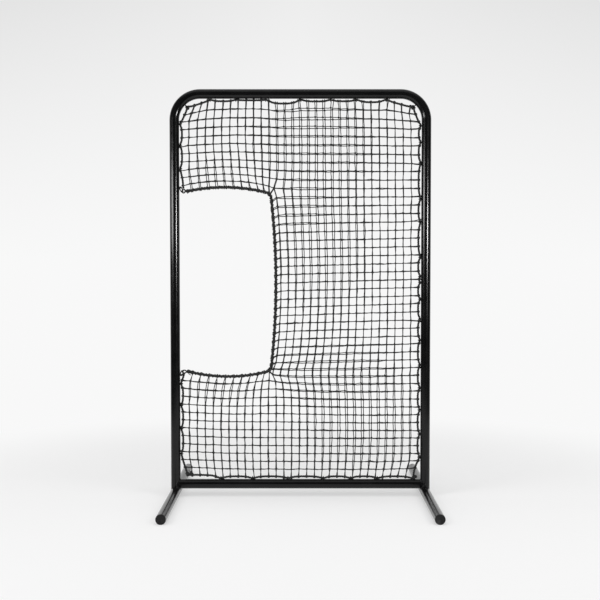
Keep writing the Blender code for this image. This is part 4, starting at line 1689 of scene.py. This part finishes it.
@dataclass
class Net:
    """Both plies of the knotted net, and the hitches that hold them to the ropes."""

    shape: NetShape
    finishes: Finishes
    twine_radius: float = 0.0024
    twine_sides: int = 5
    ply_offset: float = 0.0024
    ply_shift: tuple = (0.0018, -0.0012)
    hitch_offset: float = 0.0024
    hitch_seat: float = 0.55
    hitch_twine: float = 0.9
    hitch_lump: float = 1.5
    loop_shares: tuple = (1.35, 0.85)
    loop_tilt: float = 0.7
    loop_lean: float = 0.35
    loop_stretch: float = 1.3
    knot_spin: tuple = (0.35, 0.5, 0.35)
    knot_seed: int = 7
    jitter: float = 0.0008
    link_steps: int = 3
    droop: float = 0.0016
    seed: int = 20
    drifts: tuple = (
        Drift((0.09, 1.85), (0.29, 0.25), (0.0095, -0.004), 0.006),
        Drift((0.00, 1.53), (0.13, 0.13), (0.001, -0.008), 0.004),
        Drift((0.05, 2.00), (0.16, 0.10), (0.0, -0.006), 0.003),
        Drift((0.18, 0.63), (0.30, 0.19), (0.001, -0.009), 0.006),
        Drift((0.33, 0.41), (0.33, 0.25), (0.0100, 0.002), 0.006),
        Drift((0.13, 1.32), (0.20, 0.33), (0.009, 0.0), 0.004),
        Drift((-0.47, 1.68), (0.13, 0.08), (0.007, 0.0), 0.003),
        Drift((-0.42, 0.57), (0.17, 0.07), (0.008, 0.003), 0.003),
    )

    def drifted(self, place: np.ndarray, ply: Ply) -> np.ndarray:
        """Puts a point of the solved shape in space.

        Args:
            place: The point, as x and z.
            ply: The ply that it belongs to.

        Returns:
            The point in space.
        """
        shift = np.array(self.ply_shift)
        billow = 0.0
        for drift in self.drifts:
            away = (place - np.array(drift.centre)) / np.array(drift.reach)
            share = math.exp(-float(away @ away) ** 2)
            shift = shift + np.array(drift.shift) * share
            billow += drift.billow * share
        return in_space(place + shift * (0.5 * ply.value), ply.value * (self.ply_offset + billow * 0.5))[0]

    def slid(self, key: Key, ply: Ply) -> tuple[RopeLine, float]:
        """Finds where a ply's line is hitched.

        Args:
            key: The line's end.
            ply: The ply.

        Returns:
            The rope, and how far along it.
        """
        rope, place = self.shape.hitches[key]
        spot = self.drifted(rope.at(place), ply)
        return rope, rope.nearest((spot[0], spot[2])) + ply.value * self.hitch_offset

    def ply_lines(self, ply: Ply) -> tuple[list[np.ndarray], list[int]]:
        """The lines of one ply in space, and a flag for each of their points that is a knot.

        Args:
            ply: The ply.

        Returns:
            The lines' points, and the flags in the same order.
        """
        draw = np.random.default_rng(self.seed + ply.value)
        shape = self.shape
        places = {
            key: self.drifted(place, ply) + draw.normal(0.0, self.jitter, 3)
            for key, place in shape.crossings.items()
        }
        for key in shape.hitches:
            rope, along = self.slid(key, ply)
            places[key] = in_space(rope.at(along), ply.value * self.ply_offset * 0.5)[0]
        lines = []
        flags: list[int] = []
        for line in shape.lines:
            is_column = line[0][0] in ("top", "sill")
            points = [places[line[0]]]
            flags.append(0)
            for here, there in zip(line, line[1:]):
                start, end = places[here], places[there]
                for step in range(1, self.link_steps):
                    t = step / self.link_steps
                    sag = 0.0 if is_column else 4 * t * (1 - t) * self.droop * draw.uniform(0.0, 1.0)
                    wander = draw.normal(0.0, self.jitter * 0.5, 3)
                    points.append(start + (end - start) * t + wander - np.array([0.0, 0.0, sag]))
                    flags.append(0)
                points.append(end)
                flags.append(int(is_column and there in shape.crossings))
            lines.append(np.array(points))
        return lines, flags

    def net_tree(self) -> GeometryTree:
        """Makes a tree that lays twine on each guide line, and ties a knot at each flagged point.

        Returns:
            The tree, with an input for the twine's radius.
        """
        tree = GeometryTree("knotted_net")
        radius = tree.input("Twine Radius")
        width, thickness = (tree.math("MULTIPLY", radius, share) for share in self.loop_shares)
        loops = []
        for tilt in (-self.loop_tilt, self.loop_tilt):
            turn = {"Rotation": (QUARTER_TURN, tilt, self.loop_lean), "Scale": (self.loop_stretch, 1.0, 1.0)}
            loop = tree.moved(tree.loop(corners=6, radius=width), **turn)
            loops.append(tree.sweep(loop, thickness, sides=4))
        most = Vector(self.knot_spin)
        spread = {"Min": -most, "Max": most, "Seed": self.knot_seed}
        spin = tree.add("FunctionNodeRandomValue", {"data_type": "FLOAT_VECTOR"}, **spread)
        knots = tree.copies(tree.joined(*loops), spin.outputs["Value"], tree.named("knot", "INT"))
        twine = tree.sweep(tree.guide_curves(), radius, self.twine_sides)
        return tree.close(tree.joined(twine, knots))

    def hitch_tree(self) -> GeometryTree:
        """Makes a tree that ties twine round a rope at each guide point, its knot on the outer side.

        Returns:
            The tree, with inputs for the radius of the turn and of the twine.
        """
        tree = GeometryTree("twine_hitches")
        ring_radius, radius = (tree.input(size) for size in ("Ring Radius", "Twine Radius"))
        turn = tree.sweep(tree.loop(corners=9, radius=ring_radius), radius, sides=4)
        lump = tree.ball(segments=6, rings=4, radius=tree.math("MULTIPLY", radius, self.hitch_lump))
        lump = tree.moved(lump, Translation=tree.vector(Y=ring_radius))
        facing = tree.facing(tree.named("along", "FLOAT_VECTOR"), tree.named("outward", "FLOAT_VECTOR"))
        return tree.close(tree.copies(tree.joined(turn, lump), facing))

    def build(self) -> None:
        """Makes both plies, then the hitches on each rope."""
        tree = self.net_tree()
        for ply in Ply:
            side = ply.name.lower()
            lines, flags = self.ply_lines(ply)
            guide = guide_lines(side + "_net", lines, {"knot": flags})
            net = tree.build(guide, self.finishes.twine, Twine_Radius=self.twine_radius)
            put(net, Body.FRAME, [side + "_net_ply"])
        ropes = self.shape.ropes
        self.build_hitches("edge_rope_hitches", ropes.edge, ropes.edge_radius)
        self.build_hitches("window_rope_hitches", ropes.window, ropes.window_radius)

    def build_hitches(self, name: str, rope: RopeLine, rope_radius: float) -> None:
        """Ties the net's line ends round one rope.

        Args:
            name: The piece's name.
            rope: The rope.
            rope_radius: Its radius.
        """
        inner = {line[end]: line[step] for line in self.shape.lines for end, step in ((0, 1), (-1, -2))}
        places = []
        along = []
        outward = []
        for key, (held_by, _) in self.shape.hitches.items():
            if held_by is not rope:
                continue
            for ply in Ply:
                _, place = self.slid(key, ply)
                spot = rope.at(place)
                places.append(in_space(spot)[0])
                along.append(in_space(rope.tangent(place))[0])
                outward.append(in_space(spot - self.shape.crossings[inner[key]])[0])
        guide = guide_lines(name, [np.array(places)], {"along": along, "outward": outward})
        sizes = {
            "Ring_Radius": rope_radius + self.hitch_seat * self.twine_radius,
            "Twine_Radius": self.twine_radius * self.hitch_twine,
        }
        put(self.hitch_tree().build(guide, self.finishes.twine, **sizes), Body.FRAME)


# Studio


@dataclass(frozen=True)
class Softbox:
    """A rectangular lamp, which the camera doesn't see."""

    name: str
    place: tuple
    target: tuple
    size: tuple
    level: float
    lights: Lights

    def hang(self) -> None:
        """Hangs the lamp; its level is how bright it looks."""
        data = bpy.data.lights.new(self.name, "AREA")
        data.shape = "RECTANGLE"
        data.size, data.size_y = self.size
        data.energy = self.level * math.pi * self.size[0] * self.size[1]
        lamp = show(self.name, data)
        lamp.location = self.place
        lamp.rotation_euler = (Vector(self.target) - Vector(self.place)).to_track_quat("-Z", "Y").to_euler()
        lamp.visible_camera = False
        lamp.visible_diffuse = self.lights is Lights.MATT
        lamp.visible_glossy = self.lights is Lights.GLOSS


@dataclass
class Studio:
    """The pale floor, the softboxes, the world and the camera."""

    focal_length: float = 62.16
    camera_place: tuple = (-0.002, -5.4331, 1.2423)
    camera_pitch: float = math.radians(87.816)
    floor_radius: float = 3.4
    backdrop_level: float = 0.94
    top_painted_shade: float = 1.6
    corner_painted_shade: float = 1.27
    corner_painted_shade_most: float = 0.08
    pale_least: float = 0.75
    dim_level: float = 0.03
    fill_level: float = 0.5
    behind: tuple = (0.0, 0.6)
    behind_level: float = 0.9
    overhead: tuple = (0.6, 0.95)
    overhead_level: float = 0.8
    softboxes: tuple = (
        Softbox("top_light", (0.0, -0.4, 4.4), (0.0, 0.0, 0.0), (3.4, 1.6), 3.4, Lights.MATT),
        Softbox("left_light", (-3.0, -2.6, 3.2), (0.0, 0.0, 0.3), (1.6, 1.6), 5.0, Lights.MATT),
        Softbox("right_light", (3.0, -2.6, 3.2), (0.0, 0.0, 0.3), (1.6, 1.6), 5.0, Lights.MATT),
        Softbox("left_panel", (-3.6, -2.5, 1.75), (-0.3, 0.0, 1.75), (3.0, 0.75), 15.0, Lights.GLOSS),
        Softbox("right_strip", (2.9, -3.55, 1.54), (0.0, 0.0, 1.54), (0.85, 0.50), 100.0, Lights.GLOSS),
    )

    def build(self) -> None:
        """Sets up everything round the screen."""
        self.lay_floor()
        for softbox in self.softboxes:
            softbox.hang()
        self.set_world()
        self.set_camera()
        bpy.context.scene.view_settings.view_transform = "Standard"

    def lay_floor(self) -> None:
        """Makes the round floor, whose finish runs out into the backdrop's level."""
        shape = bmesh.new()
        bmesh.ops.create_circle(shape, cap_ends=True, segments=96, radius=self.floor_radius)
        finish = StudioFloor(backdrop_level=self.backdrop_level).material()
        floor = smooth_piece("studio_floor", shape, finish)

    def set_world(self) -> None:
        """Fills the room with even light, pale to the camera with painted shade towards its top and top
        corners, and dim on its side to a gloss.
        """
        world = bpy.data.worlds.new("studio_world")
        world.use_nodes = True
        bpy.context.scene.world = world
        graph = NodeGraph(world.node_tree)
        direction = graph.add("ShaderNodeTexCoord").outputs["Generated"]
        parts = graph.add("ShaderNodeSeparateXYZ", Vector=direction).outputs
        # Painted shade: to the camera the backdrop darkens towards its top, and more towards its top corners,
        # where the studio light falls off.
        rise = graph.math("MAXIMUM", parts["Z"], 0.0)
        top = graph.math("MULTIPLY", graph.math("MULTIPLY", rise, rise), -self.top_painted_shade)
        wide = graph.math("MULTIPLY", rise, graph.math("ABSOLUTE", parts["X"]))
        corner = graph.math("MULTIPLY", wide, self.corner_painted_shade)
        corner = graph.math("MINIMUM", corner, self.corner_painted_shade_most)
        pale = graph.math("SUBTRACT", graph.math("ADD", top, self.backdrop_level), corner)
        pale = graph.math("MAXIMUM", pale, self.pale_least)
        behind = graph.smooth_step(parts["Y"], *self.behind, self.dim_level, self.behind_level)
        overhead = graph.smooth_step(parts["Z"], *self.overhead, 0.0, self.overhead_level)
        gloss = graph.math("MAXIMUM", behind, overhead)
        path = graph.add("ShaderNodeLightPath").outputs
        level = graph.add("ShaderNodeMix", Factor=seen_directly(graph), A=self.fill_level, B=gloss)
        shown = graph.add("ShaderNodeMix", Factor=path["Is Camera Ray"], A=level.outputs["Result"], B=pale)
        background = graph.tree.nodes["Background"]
        background.inputs["Color"].default_value = (1.0, 1.0, 1.0, 1.0)
        graph.feed(background.inputs["Strength"], shown.outputs["Result"])

    def set_camera(self) -> None:
        """Stands the camera where the photograph was taken from."""
        data = bpy.data.cameras.new("camera")
        data.lens = self.focal_length
        data.sensor_width = 36.0
        camera = show("camera", data)
        camera.location = self.camera_place
        camera.rotation_euler = (self.camera_pitch, 0.0, 0.0)
        bpy.context.scene.camera = camera


def main() -> None:
    """Builds the screen piece by piece, then the studio."""
    finishes = Finishes()
    tube = TubeFrame(finishes)
    tube.build()
    EndPlugs(tube, finishes).build()
    ropes = Ropes(tube, finishes)
    ropes.build()
    RopeEyes(ropes, finishes).build()
    RopeKnots(ropes, finishes).build()
    Net(NetShape(ropes), finishes).build()
    Studio().build()


if __name__ == "__main__":
    main()
